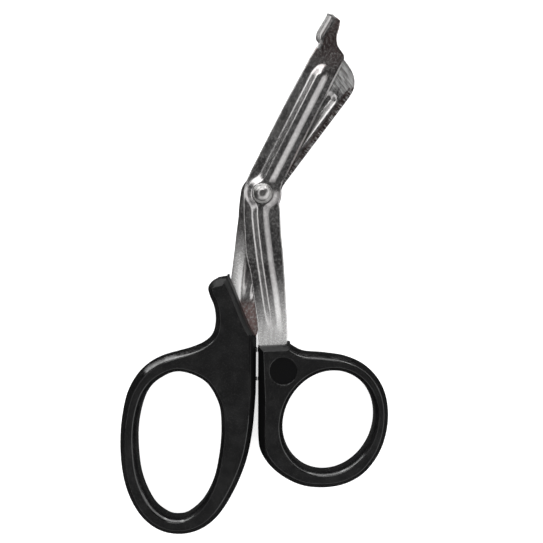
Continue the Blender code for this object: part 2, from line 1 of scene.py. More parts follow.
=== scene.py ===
"""Dress the bandage scissors: stamped sheets, turned rivet, moulded handles, their finishes and the studio.

Sizes are in millimetres and angles in degrees, round the pivot, as the part's source draws them: x and y are
zero on the pivot's axis and z is zero on the parting plane between the two sheets. Each finished mesh is in
metres in the row frame.
"""
import json
import logging
import math
from abc import ABC, abstractmethod
from collections.abc import Callable, Iterator, Sequence
from contextlib import contextmanager
from dataclasses import dataclass, field
from enum import Enum

import bmesh
import bpy
import numpy as np
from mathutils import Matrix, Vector


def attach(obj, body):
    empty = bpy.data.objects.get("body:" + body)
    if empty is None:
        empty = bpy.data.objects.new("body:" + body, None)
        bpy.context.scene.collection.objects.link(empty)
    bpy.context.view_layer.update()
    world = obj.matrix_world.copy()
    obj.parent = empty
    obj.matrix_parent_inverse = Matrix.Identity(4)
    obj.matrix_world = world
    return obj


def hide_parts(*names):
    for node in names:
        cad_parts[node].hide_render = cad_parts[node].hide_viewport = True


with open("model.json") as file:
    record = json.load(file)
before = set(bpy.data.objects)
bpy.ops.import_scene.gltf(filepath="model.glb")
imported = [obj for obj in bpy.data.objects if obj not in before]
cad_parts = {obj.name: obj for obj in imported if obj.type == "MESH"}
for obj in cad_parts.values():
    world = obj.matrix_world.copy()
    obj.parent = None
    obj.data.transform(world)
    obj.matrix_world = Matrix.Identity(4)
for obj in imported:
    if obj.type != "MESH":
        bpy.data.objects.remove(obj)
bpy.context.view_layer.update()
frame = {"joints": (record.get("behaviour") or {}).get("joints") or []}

Piece = bpy.types.Object
Socket = bpy.types.NodeSocket
Colour = tuple[float, float, float, float]
Point = tuple[float, float]
# The lowest and the highest corner of a block.
Block = tuple[tuple[float, float, float], tuple[float, float, float]]
# What a map range node does: from a low and a high value to two others.
Span = tuple[float, float, float, float]

MM = 0.001
PIVOT = np.array(frame["joints"][0]["pos_m"])
PARTING_GAP = 0.3
SHEET_THICK = 1.3
BORE_RADIUS = 2.08
HALF_HANDLE = 4.8

log = logging.getLogger("bandage_scissors")


class Body(Enum):
    """The two rigid bodies that turn on the pivot."""

    FINGER = "finger_side"
    THUMB = "thumb_side"


class Side(Enum):
    """Which side of the parting plane a sheet lies on."""

    ABOVE = 1.0
    BELOW = -1.0


class EdgeKind(Enum):
    """How the edge of a sheet is finished."""

    PUNCHED = 0
    GROUND = 1
    FOOT = 2


class PlasticTexture(Enum):
    """The finishes that the mould leaves on the plastic, and a painted shade, black and dull, for shaded
    faces.
    """

    GRAINED = 0
    SMOOTH = 1
    # Painted shade: black, dull plastic for the closing faces and the recess floor.
    PAINTED_SHADE = 2
    FACETED = 3


def to_frame(points: np.ndarray) -> np.ndarray:
    """Return points of the pivot's drawing as places in the row frame in metres."""
    return np.asarray(points, float) * MM + PIVOT


def smooth_step(low: float, high: float, value: np.ndarray) -> np.ndarray:
    """Return 0 below a low value, 1 above a high one and a smooth rise between; they may be swapped."""
    share = np.clip((value - low) / (high - low), 0.0, 1.0)
    return share * share * (3.0 - 2.0 * share)


def soft_least(first: np.ndarray, second: np.ndarray, reach: float) -> np.ndarray:
    """Return the lesser of two fields, with a fillet where they cross.

    Args:
        first: One field of distances.
        second: The other field.
        reach: How far apart the two may be and still blend.

    Returns:
        The blended field.
    """
    mix = np.clip(1.0 - np.abs(first - second) / reach, 0.0, 1.0)
    return np.minimum(first, second) - 0.25 * reach * mix * mix


def take_only(piece: Piece) -> None:
    """Leave one object selected and active.

    Args:
        piece: The object.
    """
    bpy.ops.object.select_all(action="DESELECT")
    piece.select_set(True)
    bpy.context.view_layer.objects.active = piece


@contextmanager
def editing(piece: Piece, action: str = "SELECT") -> Iterator[None]:
    """Keep a piece's mesh open for edits.

    Args:
        piece: The piece.
        action: What happens to the selection of the whole mesh first, SELECT or DESELECT.

    Yields:
        Nothing, while the mesh is open.
    """
    take_only(piece)
    bpy.ops.object.mode_set(mode="EDIT")
    bpy.ops.mesh.select_all(action=action)
    yield
    bpy.ops.object.mode_set(mode="OBJECT")


def face_outwards(piece: Piece, merge: float = 0.002) -> None:
    """Merge a piece's doubles and turn its faces outwards.

    Args:
        piece: The piece to mend.
        merge: Distance under which vertices become one.
    """
    with editing(piece):
        bpy.ops.mesh.remove_doubles(threshold=merge * MM)
        bpy.ops.mesh.normals_make_consistent(inside=False)


def shade_smooth(piece: Piece, degrees: float) -> None:
    """Shade a piece smooth, apart from edges that turn by more than an angle."""
    take_only(piece)
    bpy.ops.object.shade_smooth_by_angle(angle=math.radians(degrees))


def join_to(piece: Piece, others: Sequence[Piece]) -> None:
    """Join other objects into a piece.

    Args:
        piece: The piece that stays.
        others: The objects that become part of it.
    """
    take_only(piece)
    for other in others:
        other.select_set(True)
    bpy.ops.object.join()


def fill_border(piece: Piece, test: Callable[[Vector], bool], flat: bool = False) -> None:
    """Close the open border of a piece where its vertices pass a test.

    Args:
        piece: The piece with an open border.
        test: Says whether a vertex, in metres in the row frame, belongs to the border to close.
        flat: Whether the border is a flat face with holes, which is filled with triangles.
    """
    with editing(piece, "DESELECT"):
        bpy.ops.mesh.select_mode(type="EDGE")
        mesh = bmesh.from_edit_mesh(piece.data)
        for edge in mesh.edges:
            if edge.is_boundary and all(test(vertex.co) for vertex in edge.verts):
                edge.select_set(True)
        bmesh.update_edit_mesh(piece.data)
        if flat:
            bpy.ops.mesh.fill(use_beauty=True)
        else:
            bpy.ops.mesh.edge_face_add()
        bpy.ops.mesh.select_mode(type="VERT")


def just_added(name: str) -> Piece:
    """Name the object that an operator has just added, and apply its place, turn and scale.

    Args:
        name: Name of the object and of its mesh.

    Returns:
        The object.
    """
    piece = bpy.context.object
    take_only(piece)
    piece.name = name
    piece.data.name = name
    bpy.ops.object.transform_apply(location=True, rotation=True, scale=True)
    return piece


def add_skin(name: str, rings: np.ndarray) -> Piece:
    """Wrap a grid primitive through closed rings of points.

    Args:
        name: Name of the new piece.
        rings: Points as an array of ring, place round the ring and axis, in the pivot's drawing.

    Returns:
        The open tube, with the doubles of its seam still in it.
    """
    rows, count = rings.shape[:2]
    bpy.ops.mesh.primitive_grid_add(x_subdivisions=count, y_subdivisions=rows - 1, size=MM)
    skin = just_added(name)
    seamed = np.concatenate([rings, rings[:, :1]], axis=1).reshape(-1, 3)
    skin.data.vertices.foreach_set("co", to_frame(seamed).ravel())
    skin.data.update()
    return skin


def add_turned(name: str, centre: Point, profile: Sequence[Point], segments: int,
               capped: bool = False) -> Piece:
    """Draw a circle out along a profile, ring by ring, as on a lathe.

    Args:
        name: Name of the new piece.
        centre: Place of the axis in the pivot's drawing.
        profile: Radius and height of each ring; a last radius of zero closes the end.
        segments: Points round each ring.
        capped: Whether the first ring is closed by a flat cap.

    Returns:
        The new piece.
    """
    place = to_frame(np.array((*centre, profile[0][1])))
    bpy.ops.mesh.primitive_circle_add(vertices=segments, radius=profile[0][0] * MM, location=place,
                                      fill_type="TRIFAN" if capped else "NOTHING")
    piece = just_added(name)
    with editing(piece, "DESELECT"):
        bpy.ops.mesh.select_mode(type="EDGE")
        bpy.ops.mesh.select_non_manifold(extend=False, use_wire=True, use_boundary=True, use_multi_face=False,
                                         use_non_contiguous=False, use_verts=False)
        for (radius, height), (next_radius, next_height) in zip(profile, profile[1:]):
            rise = (next_height - height) * MM
            bpy.ops.mesh.extrude_region_move(TRANSFORM_OT_translate={"value": (0.0, 0.0, rise)})
            if next_radius > 0.0:
                share = next_radius / radius
                bpy.ops.transform.resize(value=(share, share, 1.0), center_override=tuple(place))
            else:
                bpy.ops.mesh.merge(type="CENTER")
        bpy.ops.mesh.select_mode(type="VERT")
    return piece


def add_block(name: str, block: Block, rounding: float) -> Piece:
    """Add a block between two corners and bevel its edges.

    Args:
        name: Name of the new piece.
        block: Its corners in the pivot's drawing.
        rounding: Width of the bevel.

    Returns:
        The new piece.
    """
    corner, far = to_frame(block)
    bpy.ops.mesh.primitive_cube_add(size=1.0, location=0.5 * (corner + far), scale=far - corner)
    piece = just_added(name)
    with editing(piece):
        bpy.ops.mesh.bevel(offset=rounding * MM, segments=3, profile=0.5)
    return piece


@dataclass
class NodeBoard:
    """A material's node tree, with short ways to add the nodes that the finishes use.

    The line reach is how far the noise of a scratch strays from its middle value where the scratch ends, for
    a family that covers the whole surface.
    """

    name: str
    line_reach: float = 0.2
    material: bpy.types.Material = field(init=False)
    shader: bpy.types.Node = field(init=False)
    coordinates: Socket = field(init=False)

    def __post_init__(self) -> None:
        """Make the material with its Principled shader and its coordinates."""
        self.material = bpy.data.materials.new(self.name)
        self.material.use_nodes = True
        self.shader = self.material.node_tree.nodes["Principled BSDF"]
        self.coordinates = self.add("ShaderNodeTexCoord").outputs["Object"]

    def feed(self, node: bpy.types.Node, **inputs: object) -> None:
        """Link or set a node's inputs.

        Args:
            node: The node.
            **inputs: Sockets or values, by name with spaces as underscores, or by number as _0.
        """
        for key, value in inputs.items():
            socket = node.inputs[int(key[1:]) if key[0] == "_" else key.replace("_", " ")]
            if isinstance(value, Socket):
                self.material.node_tree.links.new(value, socket)
            else:
                socket.default_value = value

    def add(self, kind: str, settings: dict | None = None, **inputs: object) -> bpy.types.Node:
        """Add a node.

        Args:
            kind: The node's type name.
            settings: Its own properties.
            **inputs: Its inputs, as feed takes them.

        Returns:
            The node.
        """
        node = self.material.node_tree.nodes.new(kind)
        for key, value in (settings or {}).items():
            setattr(node, key, value)
        self.feed(node, **inputs)
        return node

    def finish(self, **inputs: object) -> bpy.types.Material:
        """Feed the shader's inputs and return the material."""
        self.feed(self.shader, **inputs)
        return self.material

    def turned(self, degrees: float, stretch: tuple[float, float, float]) -> Socket:
        """Return the coordinates turned about +Z and then scaled, by less than 1 for longer features.

        Args:
            degrees: The turn.
            stretch: Scale along each turned axis.

        Returns:
            The new coordinates.
        """
        turn = (0.0, 0.0, math.radians(degrees))
        spun = self.add("ShaderNodeMapping", Vector=self.coordinates, Rotation=turn)
        return self.add("ShaderNodeMapping", Vector=spun.outputs[0], Scale=stretch).outputs[0]

    def noise(self, size: float, detail: float = 2.0, at: Socket | None = None,
              roughness: float = 0.5) -> Socket:
        """Return noise whose features have a given size.

        Args:
            size: Size of the largest features.
            detail: How many finer octaves are added.
            at: Coordinates to read, or None for the object's own.
            roughness: How strong the finer octaves are.

        Returns:
            The noise's factor.
        """
        return self.add("ShaderNodeTexNoise", Vector=at or self.coordinates, Scale=1.0 / (size * MM),
                        Detail=detail, Roughness=roughness).outputs[0]

    def calculate(self, operation: str, first: object, second: object = 0.0, clamp: bool = False) -> Socket:
        """Return the result of a sum on two values.

        Args:
            operation: The math node's operation.
            first: Its first socket or value.
            second: Its second.
            clamp: Whether the result is kept between 0 and 1.

        Returns:
            The result.
        """
        settings = {"operation": operation, "use_clamp": clamp}
        return self.add("ShaderNodeMath", settings, _0=first, _1=second).outputs[0]

    def times(self, first: object, second: object) -> Socket:
        """Return the product of two values."""
        return self.calculate("MULTIPLY", first, second)

    def spread(self, value: Socket, span: Span) -> Socket:
        """Return a value moved smoothly from one range to another.

        Args:
            value: The value.
            span: A low and a high value, and what becomes of them.

        Returns:
            The new value.
        """
        low, high, to_low, to_high = span
        return self.add("ShaderNodeMapRange", {"interpolation_type": "SMOOTHSTEP"}, Value=value, From_Min=low,
                        From_Max=high, To_Min=to_low, To_Max=to_high).outputs[0]

    def worn(self, fine: Socket, fine_span: Span, cloud: Socket, cloud_span: Span) -> Socket:
        """Return the wear that a fine pattern and a cloudy one give together.

        Args:
            fine: The fine pattern.
            fine_span: How much wear it gives.
            cloud: The cloudy pattern.
            cloud_span: How much wear that gives.

        Returns:
            A factor from 0 to 1.
        """
        return self.calculate("ADD", self.spread(fine, fine_span), self.spread(cloud, cloud_span), clamp=True)

    def blend(self, share: object, first: object, second: object, mode: str = "MIX") -> Socket:
        """Return two colours mixed by a share.

        Args:
            share: Share of the second colour.
            first: One colour.
            second: The other.
            mode: How the node mixes them.

        Returns:
            The mixed colour.
        """
        settings = {"data_type": "RGBA", "blend_type": mode}
        return self.add("ShaderNodeMix", settings, Factor=share, _6=first, _7=second).outputs[2]

    def scratches(self, *families: Span) -> Socket:
        """Return fine lines.

        Args:
            *families: For each family of lines its direction from +X, the lines' spacing and length, and the
                share of the surface that they cover.

        Returns:
            A factor that is 1 in the middle of a line.
        """
        strongest = 0.0
        for degrees, spacing, length, share in families:
            along = self.turned(-degrees, (spacing / length, 1.0, 1.0))
            grain = self.noise(spacing, detail=1.0, at=along)
            off_line = self.calculate("ABSOLUTE", self.calculate("SUBTRACT", grain, 0.5))
            line = self.spread(off_line, (0.0, share * self.line_reach, 1.0, 0.0))
            strongest = self.calculate("MAXIMUM", strongest, line)
        return strongest

    def bump(self, height: Socket, strength: float, depth: float, under: Socket | None = None) -> Socket:
        """Return a normal that a height field disturbs.

        Args:
            height: The height field.
            strength: Share of the relief that shows.
            depth: Depth of the relief.
            under: A normal that the relief is added to, or None for the surface's own.

        Returns:
            The new normal.
        """
        node = self.add("ShaderNodeBump", Height=height, Strength=strength, Distance=depth * MM)
        if under:
            self.feed(node, Normal=under)
        return node.outputs[0]


@dataclass(frozen=True)
class TumbledSteel:
    """Stamped stainless sheet: mottled, scratched, ground along its edges, and satin by the handles with a
    pale painted sheen.
    """

    name: str
    lean: float
    dark: Colour = (0.43, 0.415, 0.415, 1.0)
    light: Colour = (0.55, 0.54, 0.535, 1.0)
    # Satin colour: partly a rougher finish, partly a painted sheen for the brighter reflection towards the
    # handles.
    satin_sheen: Colour = (0.95, 0.95, 0.94, 1.0)
    ground: Colour = (0.86, 0.86, 0.85, 1.0)
    # Reddish darkening, multiplied in; on the rear sheet's inner face it is a painted dark reflection.
    reddish_dark: Colour = (0.72, 0.50, 0.47, 1.0)
    speckle_size: float = 0.8
    speckle_wear: Span = (0.46, 0.62, 0.0, 0.8)
    speckle_roughness: Span = (0.4, 0.66, 0.2, 0.23)
    cloud_size: float = 5.0
    cloud_wear: Span = (0.4, 0.66, 0.0, 0.5)
    reddish_dark_share: Span = (0.45, 0.6, 1.0, 0.35)
    drawn_size: float = 0.7
    drawn_turn: float = 4.0
    drawn_stretch: float = 18.0
    drawn_share: Span = (0.3, 0.7, 0.85, 1.0)
    satin_sheen_roughness: float = 0.1
    satin_sheen_frost: float = 0.6
    worn_frost: float = 0.09
    reddish_dark_bare: float = 0.5
    line_size: float = 0.28
    line_turn: float = 16.0
    line_stretch: float = 16.0
    line_light: Span = (0.38, 0.64, 0.0, 1.0)
    line_roughness: Span = (0.0, 1.0, 0.08, 0.24)
    line_relief: Point = (0.4, 0.015)
    tick_size: float = 0.4
    tick_stretch: float = 14.0
    tick_share: Span = (0.49, 0.55, 0.0, 1.0)
    dent_size: float = 2.4
    dent_relief: Point = (0.07, 0.02)
    scratches: tuple[Span, ...] = ((90.0, 0.9, 16.0, 0.04), (38.0, 1.6, 9.0, 0.025))
    scratch_share: float = 0.16

    def pale_frost(self, board: NodeBoard, worn: Socket, satin_sheen: Socket, reddish_dark: Socket) -> Socket:
        """Return how much of the metal shine the satin's painted sheen and the wear take away.

        Args:
            board: The material's node tree.
            worn: How worn the sheet is.
            satin_sheen: How much satin, with its painted sheen, it has.
            reddish_dark: How reddish dark it is.

        Returns:
            The share that no longer shines like metal.
        """
        bare = board.calculate("SUBTRACT", 1.0, satin_sheen, clamp=True)
        bare = board.calculate("SUBTRACT", bare, board.times(reddish_dark, self.reddish_dark_bare), clamp=True)
        haze = board.times(board.times(worn, bare), self.worn_frost)
        return board.calculate("ADD", board.times(satin_sheen, self.satin_sheen_frost), haze)

    def material(self) -> bpy.types.Material:
        """Build the finish, which reads the sheet's marks: ground, satin with a painted sheen, reddish dark,
        and ticked along an edge.

        Returns:
            The material.
        """
        board = NodeBoard(self.name)
        marks = board.add("ShaderNodeAttribute", {"attribute_name": "marks"})
        parts = board.add("ShaderNodeSeparateColor", Color=marks.outputs["Color"])
        ground, satin_sheen, reddish_dark = parts.outputs[0], parts.outputs[1], parts.outputs[2]
        speckle = board.noise(self.speckle_size, detail=3.0, roughness=0.6)
        cloud = board.noise(self.cloud_size, detail=4.0, roughness=0.6)
        along_lines = board.turned(self.lean + self.line_turn, (1.0 / self.line_stretch, 1.0, 1.0))
        along_ticks = board.turned(self.lean, (1.0 / self.tick_stretch, 1.0, 1.0))
        along_shank = board.turned(self.drawn_turn, (1.0, 1.0 / self.drawn_stretch, 1.0))
        lines = board.noise(self.line_size, detail=3.0, at=along_lines)
        ticks = board.noise(self.tick_size, detail=2.0, at=along_ticks)
        drawn = board.noise(self.drawn_size, detail=2.0, at=along_shank)
        worn = board.worn(speckle, self.speckle_wear, cloud, self.cloud_wear)
        scratch = board.scratches(*((turn - self.lean, *sizes) for turn, *sizes in self.scratches))
        satin_sheen = board.times(satin_sheen, board.spread(drawn, self.drawn_share))
        ticked = board.times(marks.outputs["Alpha"], board.spread(ticks, self.tick_share))
        ground = board.calculate("MAXIMUM", ground, ticked)
        line_light = board.spread(lines, self.line_light)
        colour = board.blend(worn, self.dark, self.light)
        # Painted sheen: the satin's pale colour stands for the brighter reflection by the handles.
        colour = board.blend(satin_sheen, colour, self.satin_sheen)
        # Reddish darkening; on the rear sheet's inner face this is a painted dark reflection.
        darkened = board.times(reddish_dark, board.spread(speckle, self.reddish_dark_share))
        colour = board.blend(darkened, colour, board.blend(1.0, colour, self.reddish_dark, "MULTIPLY"))
        colour = board.blend(ground, colour, board.blend(line_light, self.dark, self.ground))
        colour = board.blend(board.times(scratch, self.scratch_share), colour, self.ground)
        roughness = board.spread(speckle, self.speckle_roughness)
        roughness = board.calculate("ADD", roughness, board.times(satin_sheen, self.satin_sheen_roughness))
        rubbed = board.times(ground, board.spread(line_light, self.line_roughness))
        roughness = board.calculate("ADD", roughness, rubbed, clamp=True)
        relief = board.bump(board.times(lines, ground), *self.line_relief)
        relief = board.bump(board.noise(self.dent_size, detail=1.0), *self.dent_relief, relief)
        # How much the sheet shines like metal; the satin's frost takes shine away, which also paints its pale
        # sheen.
        gleam = board.calculate("SUBTRACT", 1.0, self.pale_frost(board, worn, satin_sheen, reddish_dark), clamp=True)
        return board.finish(Base_Color=colour, Metallic=gleam, Roughness=roughness, Normal=relief)


@dataclass(frozen=True)
class TurnedSteel:
    """Polished rivet and washer steel, a little hazed, dented and scratched."""

    name: str
    tint: Colour = (0.62, 0.61, 0.60, 1.0)
    painted_shade: Colour = (0.46, 0.45, 0.44, 1.0)
    haze_size: float = 0.9
    haze_tint: Span = (0.35, 0.65, 0.4, 1.0)
    haze_roughness: Span = (0.3, 0.7, 0.29, 0.34)
    dent_size: float = 2.2
    dent_relief: Point = (0.06, 0.03)
    scratches: tuple[Span, ...] = ((15.0, 0.6, 5.0, 0.05), (-55.0, 0.8, 4.0, 0.04))
    scratch_relief: Point = (0.1, 0.003)

    def material(self) -> bpy.types.Material:
        """Build the finish.

        Returns:
            The material.
        """
        board = NodeBoard(self.name)
        haze = board.noise(self.haze_size, detail=4.0, roughness=0.65)
        scratch = board.scratches(*self.scratches)
        colour = board.blend(board.spread(haze, self.haze_tint), self.painted_shade, self.tint)
        relief = board.bump(board.noise(self.dent_size, detail=1.0), *self.dent_relief)
        relief = board.bump(scratch, *self.scratch_relief, relief)
        return board.finish(Base_Color=colour, Metallic=1.0, Normal=relief,
                            Roughness=board.spread(haze, self.haze_roughness))


@dataclass(frozen=True)
class Moulding:
    """How the mould leaves the plastic: its grain's strength and depth, its shine and its even roughness."""

    strength: float
    depth: float
    shine: float
    roughness: float | None = None


MOULDINGS = {
    PlasticTexture.GRAINED: Moulding(0.5, 0.04, 0.25),
    PlasticTexture.SMOOTH: Moulding(0.15, 0.01, 0.85),
    # Painted shade: low shine and even roughness on the deep black.
    PlasticTexture.PAINTED_SHADE: Moulding(0.2, 0.02, 0.12, 0.5),
    PlasticTexture.FACETED: Moulding(0.3, 0.03, 0.45, 0.4),
}


@dataclass(frozen=True)
class MouldedPlastic:
    """Black moulded plastic, grained on the flats and smoother, with drawn streaks, on the bevels."""

    name: str
    texture: PlasticTexture
    deep: Colour = (0.0022, 0.0022, 0.0024, 1.0)
    dusty: Colour = (0.017, 0.017, 0.017, 1.0)
    grain_size: float = 0.34
    grain_dust: Span = (0.53, 0.66, 0.0, 0.9)
    cloud_size: float = 6.0
    cloud_dust: Span = (0.42, 0.7, 0.0, 0.25)
    cloud_roughness: Span = (0.3, 0.7, 0.5, 0.6)
    streak_size: float = 1.1
    streak_turn: float = 25.0
    streak_stretch: float = 0.35
    streak_relief: Point = (0.15, 0.03)
    streak_roughness: Span = (0.3, 0.7, 0.12, 0.2)

    def material(self) -> bpy.types.Material:
        """Build the finish for the plastic's texture.

        Returns:
            The material.
        """
        board = NodeBoard(self.name)
        grain = board.noise(self.grain_size, detail=3.0, roughness=0.6)
        cloud = board.noise(self.cloud_size, detail=4.0, roughness=0.6)
        dusted = board.worn(grain, self.grain_dust, cloud, self.cloud_dust)
        colour = board.blend(dusted, self.deep, self.dusty)
        moulding, under = MOULDINGS[self.texture], None
        roughness = moulding.roughness
        # Painted shade: the deep black alone, with no dust.
        if self.texture is PlasticTexture.PAINTED_SHADE:
            colour = self.deep
        if self.texture is PlasticTexture.GRAINED:
            roughness = board.spread(cloud, self.cloud_roughness)
        if self.texture is PlasticTexture.SMOOTH:
            along_streaks = board.turned(self.streak_turn, (self.streak_stretch, 1.0, 1.0))
            streaks = board.noise(self.streak_size, detail=3.0, at=along_streaks)
            under = board.bump(streaks, *self.streak_relief)
            roughness = board.spread(streaks, self.streak_roughness)
        relief = board.bump(grain, moulding.strength, moulding.depth, under)
        return board.finish(Base_Color=colour, Roughness=roughness, Normal=relief,
                            Specular_IOR_Level=moulding.shine)


@dataclass(frozen=True)
class StudioPaper:
    """White matt paper that glows a little, so that the floor stays pale between the lights."""

    name: str = "studio_floor_paper"
    white: Colour = (0.93, 0.93, 0.93, 1.0)
    glow: Colour = (1.0, 1.0, 1.0, 1.0)
    glow_strength: float = 0.6
    grain_size: float = 0.8
    grain_relief: Point = (0.1, 0.02)
    roughness: float = 0.9
    shine: float = 0.1

    def material(self) -> bpy.types.Material:
        """Build the finish.

        Returns:
            The material.
        """
        board = NodeBoard(self.name)
        relief = board.bump(board.noise(self.grain_size, detail=3.0), *self.grain_relief)
        return board.finish(Base_Color=self.white, Roughness=self.roughness, Specular_IOR_Level=self.shine,
                            Normal=relief, Emission_Color=self.glow, Emission_Strength=self.glow_strength)


def heading(lean: float) -> tuple[np.ndarray, np.ndarray]:
    """Return the unit vectors along a line that leans from +Y towards +X, and to the right of it."""
    angle = math.radians(lean)
    return np.array((math.sin(angle), math.cos(angle))), np.array((math.cos(angle), -math.sin(angle)))


def from_line(x: np.ndarray, y: np.ndarray, lean: float) -> tuple[np.ndarray, np.ndarray]:
    """Return how far places are along a leaning line through the pivot, and how far to the right of it."""
    along, across = heading(lean)
    return x * along[0] + y * along[1], x * across[0] + y * across[1]


@dataclass(frozen=True)
class Shank:
    """The sheet below the pivot, row by row: y, left edge, right edge, centre and half width of the rib."""

    rows: tuple[tuple[float, float, float, float, float], ...]
    fade_from: float
    fade_to: float
    start: float = -8.0

    def rib_at(self, y: np.ndarray) -> tuple[np.ndarray, np.ndarray]:
        """Return the rib's centre and half width at heights on the drawing."""
        table = np.array(self.rows)[::-1]
        return np.interp(y, table[:, 0], table[:, 3]), np.interp(y, table[:, 0], table[:, 4])


@dataclass(frozen=True)
class Pressing:
    """What the press raises on a sheet: the blade's rib, the round boss and the shank's rib."""

    lean: float
    rib_centre: float
    rib_half: float
    rib_end: float
    shank: Shank
    end_stretch: float = 1.0
    lift: float = 1.1
    crown: float = 0.52
    foot_turn: float = 0.36
    shoulder_turn: float = 0.22
    boss_crown: float = 3.6
    boss_flank: float = 3.6
    boss_foot_turn: float = 0.55
    boss_shoulder_turn: float = 0.12
    least_stem: float = 0.4
    fillet: float = 1.5
    table_points: int = 200

    def flank(self, share: np.ndarray, foot: float, shoulder: float) -> np.ndarray:
        """Return the share of the lift at a share of the way in from the foot to the crown.

        Args:
            share: Share of the way in.
            foot: Share of the way that the foot's curve takes.
            shoulder: The same for the shoulder's curve.

        Returns:
            The share of the lift.
        """
        share = np.clip(share, 0.0, 1.0)
        slope = 1.0 / (1.0 - 0.5 * (foot + shoulder))
        straight = slope * (share - 0.5 * foot)
        below = 0.5 * slope * share ** 2 / foot
        above = 1.0 - 0.5 * slope * (1.0 - share) ** 2 / shoulder
        return np.where(share < foot, below, np.where(share > 1.0 - shoulder, above, straight))

    def boss_share(self, reach: np.ndarray) -> np.ndarray:
        """Return the way in on the boss's own flank, as the share of a rib's flank with the same lift.

        Args:
            reach: Distances from the pivot's axis.

        Returns:
            The shares.
        """
        share = 1.0 - (reach - self.boss_crown) / self.boss_flank
        table = np.linspace(0.0, 1.0, self.table_points)
        lift = self.flank(share, self.boss_foot_turn, self.boss_shoulder_turn)
        same = np.interp(lift, self.flank(table, self.foot_turn, self.shoulder_turn), table)
        return np.where((share > 0.0) & (share < 1.0), same, share)

    def height(self, x: np.ndarray, y: np.ndarray) -> np.ndarray:
        """Return how far the sheet is pressed out at places on the drawing.

        Args:
            x: The places' x.
            y: Their y.

        Returns:
            The heights over the flat sheet.
        """
        along, across = from_line(x, y, self.lean)
        past = np.maximum(along - self.rib_end, 0.0) / self.end_stretch + np.maximum(-along, 0.0)
        width = self.rib_half - self.crown
        rib = np.hypot(across - self.rib_centre, past) - self.crown
        boss = (1.0 - self.boss_share(np.hypot(x, y))) * width
        centre, half = self.shank.rib_at(np.minimum(y, self.shank.start))
        stem_width = np.maximum(half - self.crown, self.least_stem)
        stem = (np.hypot(x - centre, np.maximum(y, 0.0)) - self.crown) * width / stem_width
        outside = soft_least(soft_least(rib, boss, self.fillet), stem, self.fillet)
        fade = smooth_step(self.shank.fade_to, self.shank.fade_from, y)
        return self.lift * fade * self.flank(1.0 - outside / width, self.foot_turn, self.shoulder_turn)


@dataclass(frozen=True)
class Crossing:
    """A line across a sheet: a place on it, its lean, its two ends with their finish, and the foot's rise."""

    x: float
    y: float
    lean: float
    left: float
    right: float
    left_kind: EdgeKind = EdgeKind.PUNCHED
    right_kind: EdgeKind = EdgeKind.PUNCHED
    rise: float = 0.0

    def ends(self) -> tuple[np.ndarray, np.ndarray]:
        """Return the two ends."""
        place, across = np.array((self.x, self.y)), heading(self.lean)[1]
        return place + self.left * across, place + self.right * across


# The columns along an edge: how far each is from the edge, and how far over the sheet's outer face.
# The foot's heights are shares of how far it rises.
EDGE_BLOCKS = {
    EdgeKind.PUNCHED: ((0.0, 0.05, 0.12, 0.22, 0.36, 0.55, 1.0, 1.5),
                       (-0.42, -0.26, -0.155, -0.08, -0.025, 0.0, 0.0, 0.0)),
    EdgeKind.GROUND: ((0.0, 0.1, 0.25, 0.4, 0.52, 0.6, 0.95, 1.5),
                      (-1.0, -0.8, -0.5, -0.2, -0.02, 0.0, 0.0, 0.0)),
    EdgeKind.FOOT: ((0.0, 0.1, 1.1, 1.2, 1.9, 2.05, 2.25, 2.5),
                    (0.9, 0.96, 1.0, 0.99, 0.82, 0.6, 0.2, 0.0)),
}


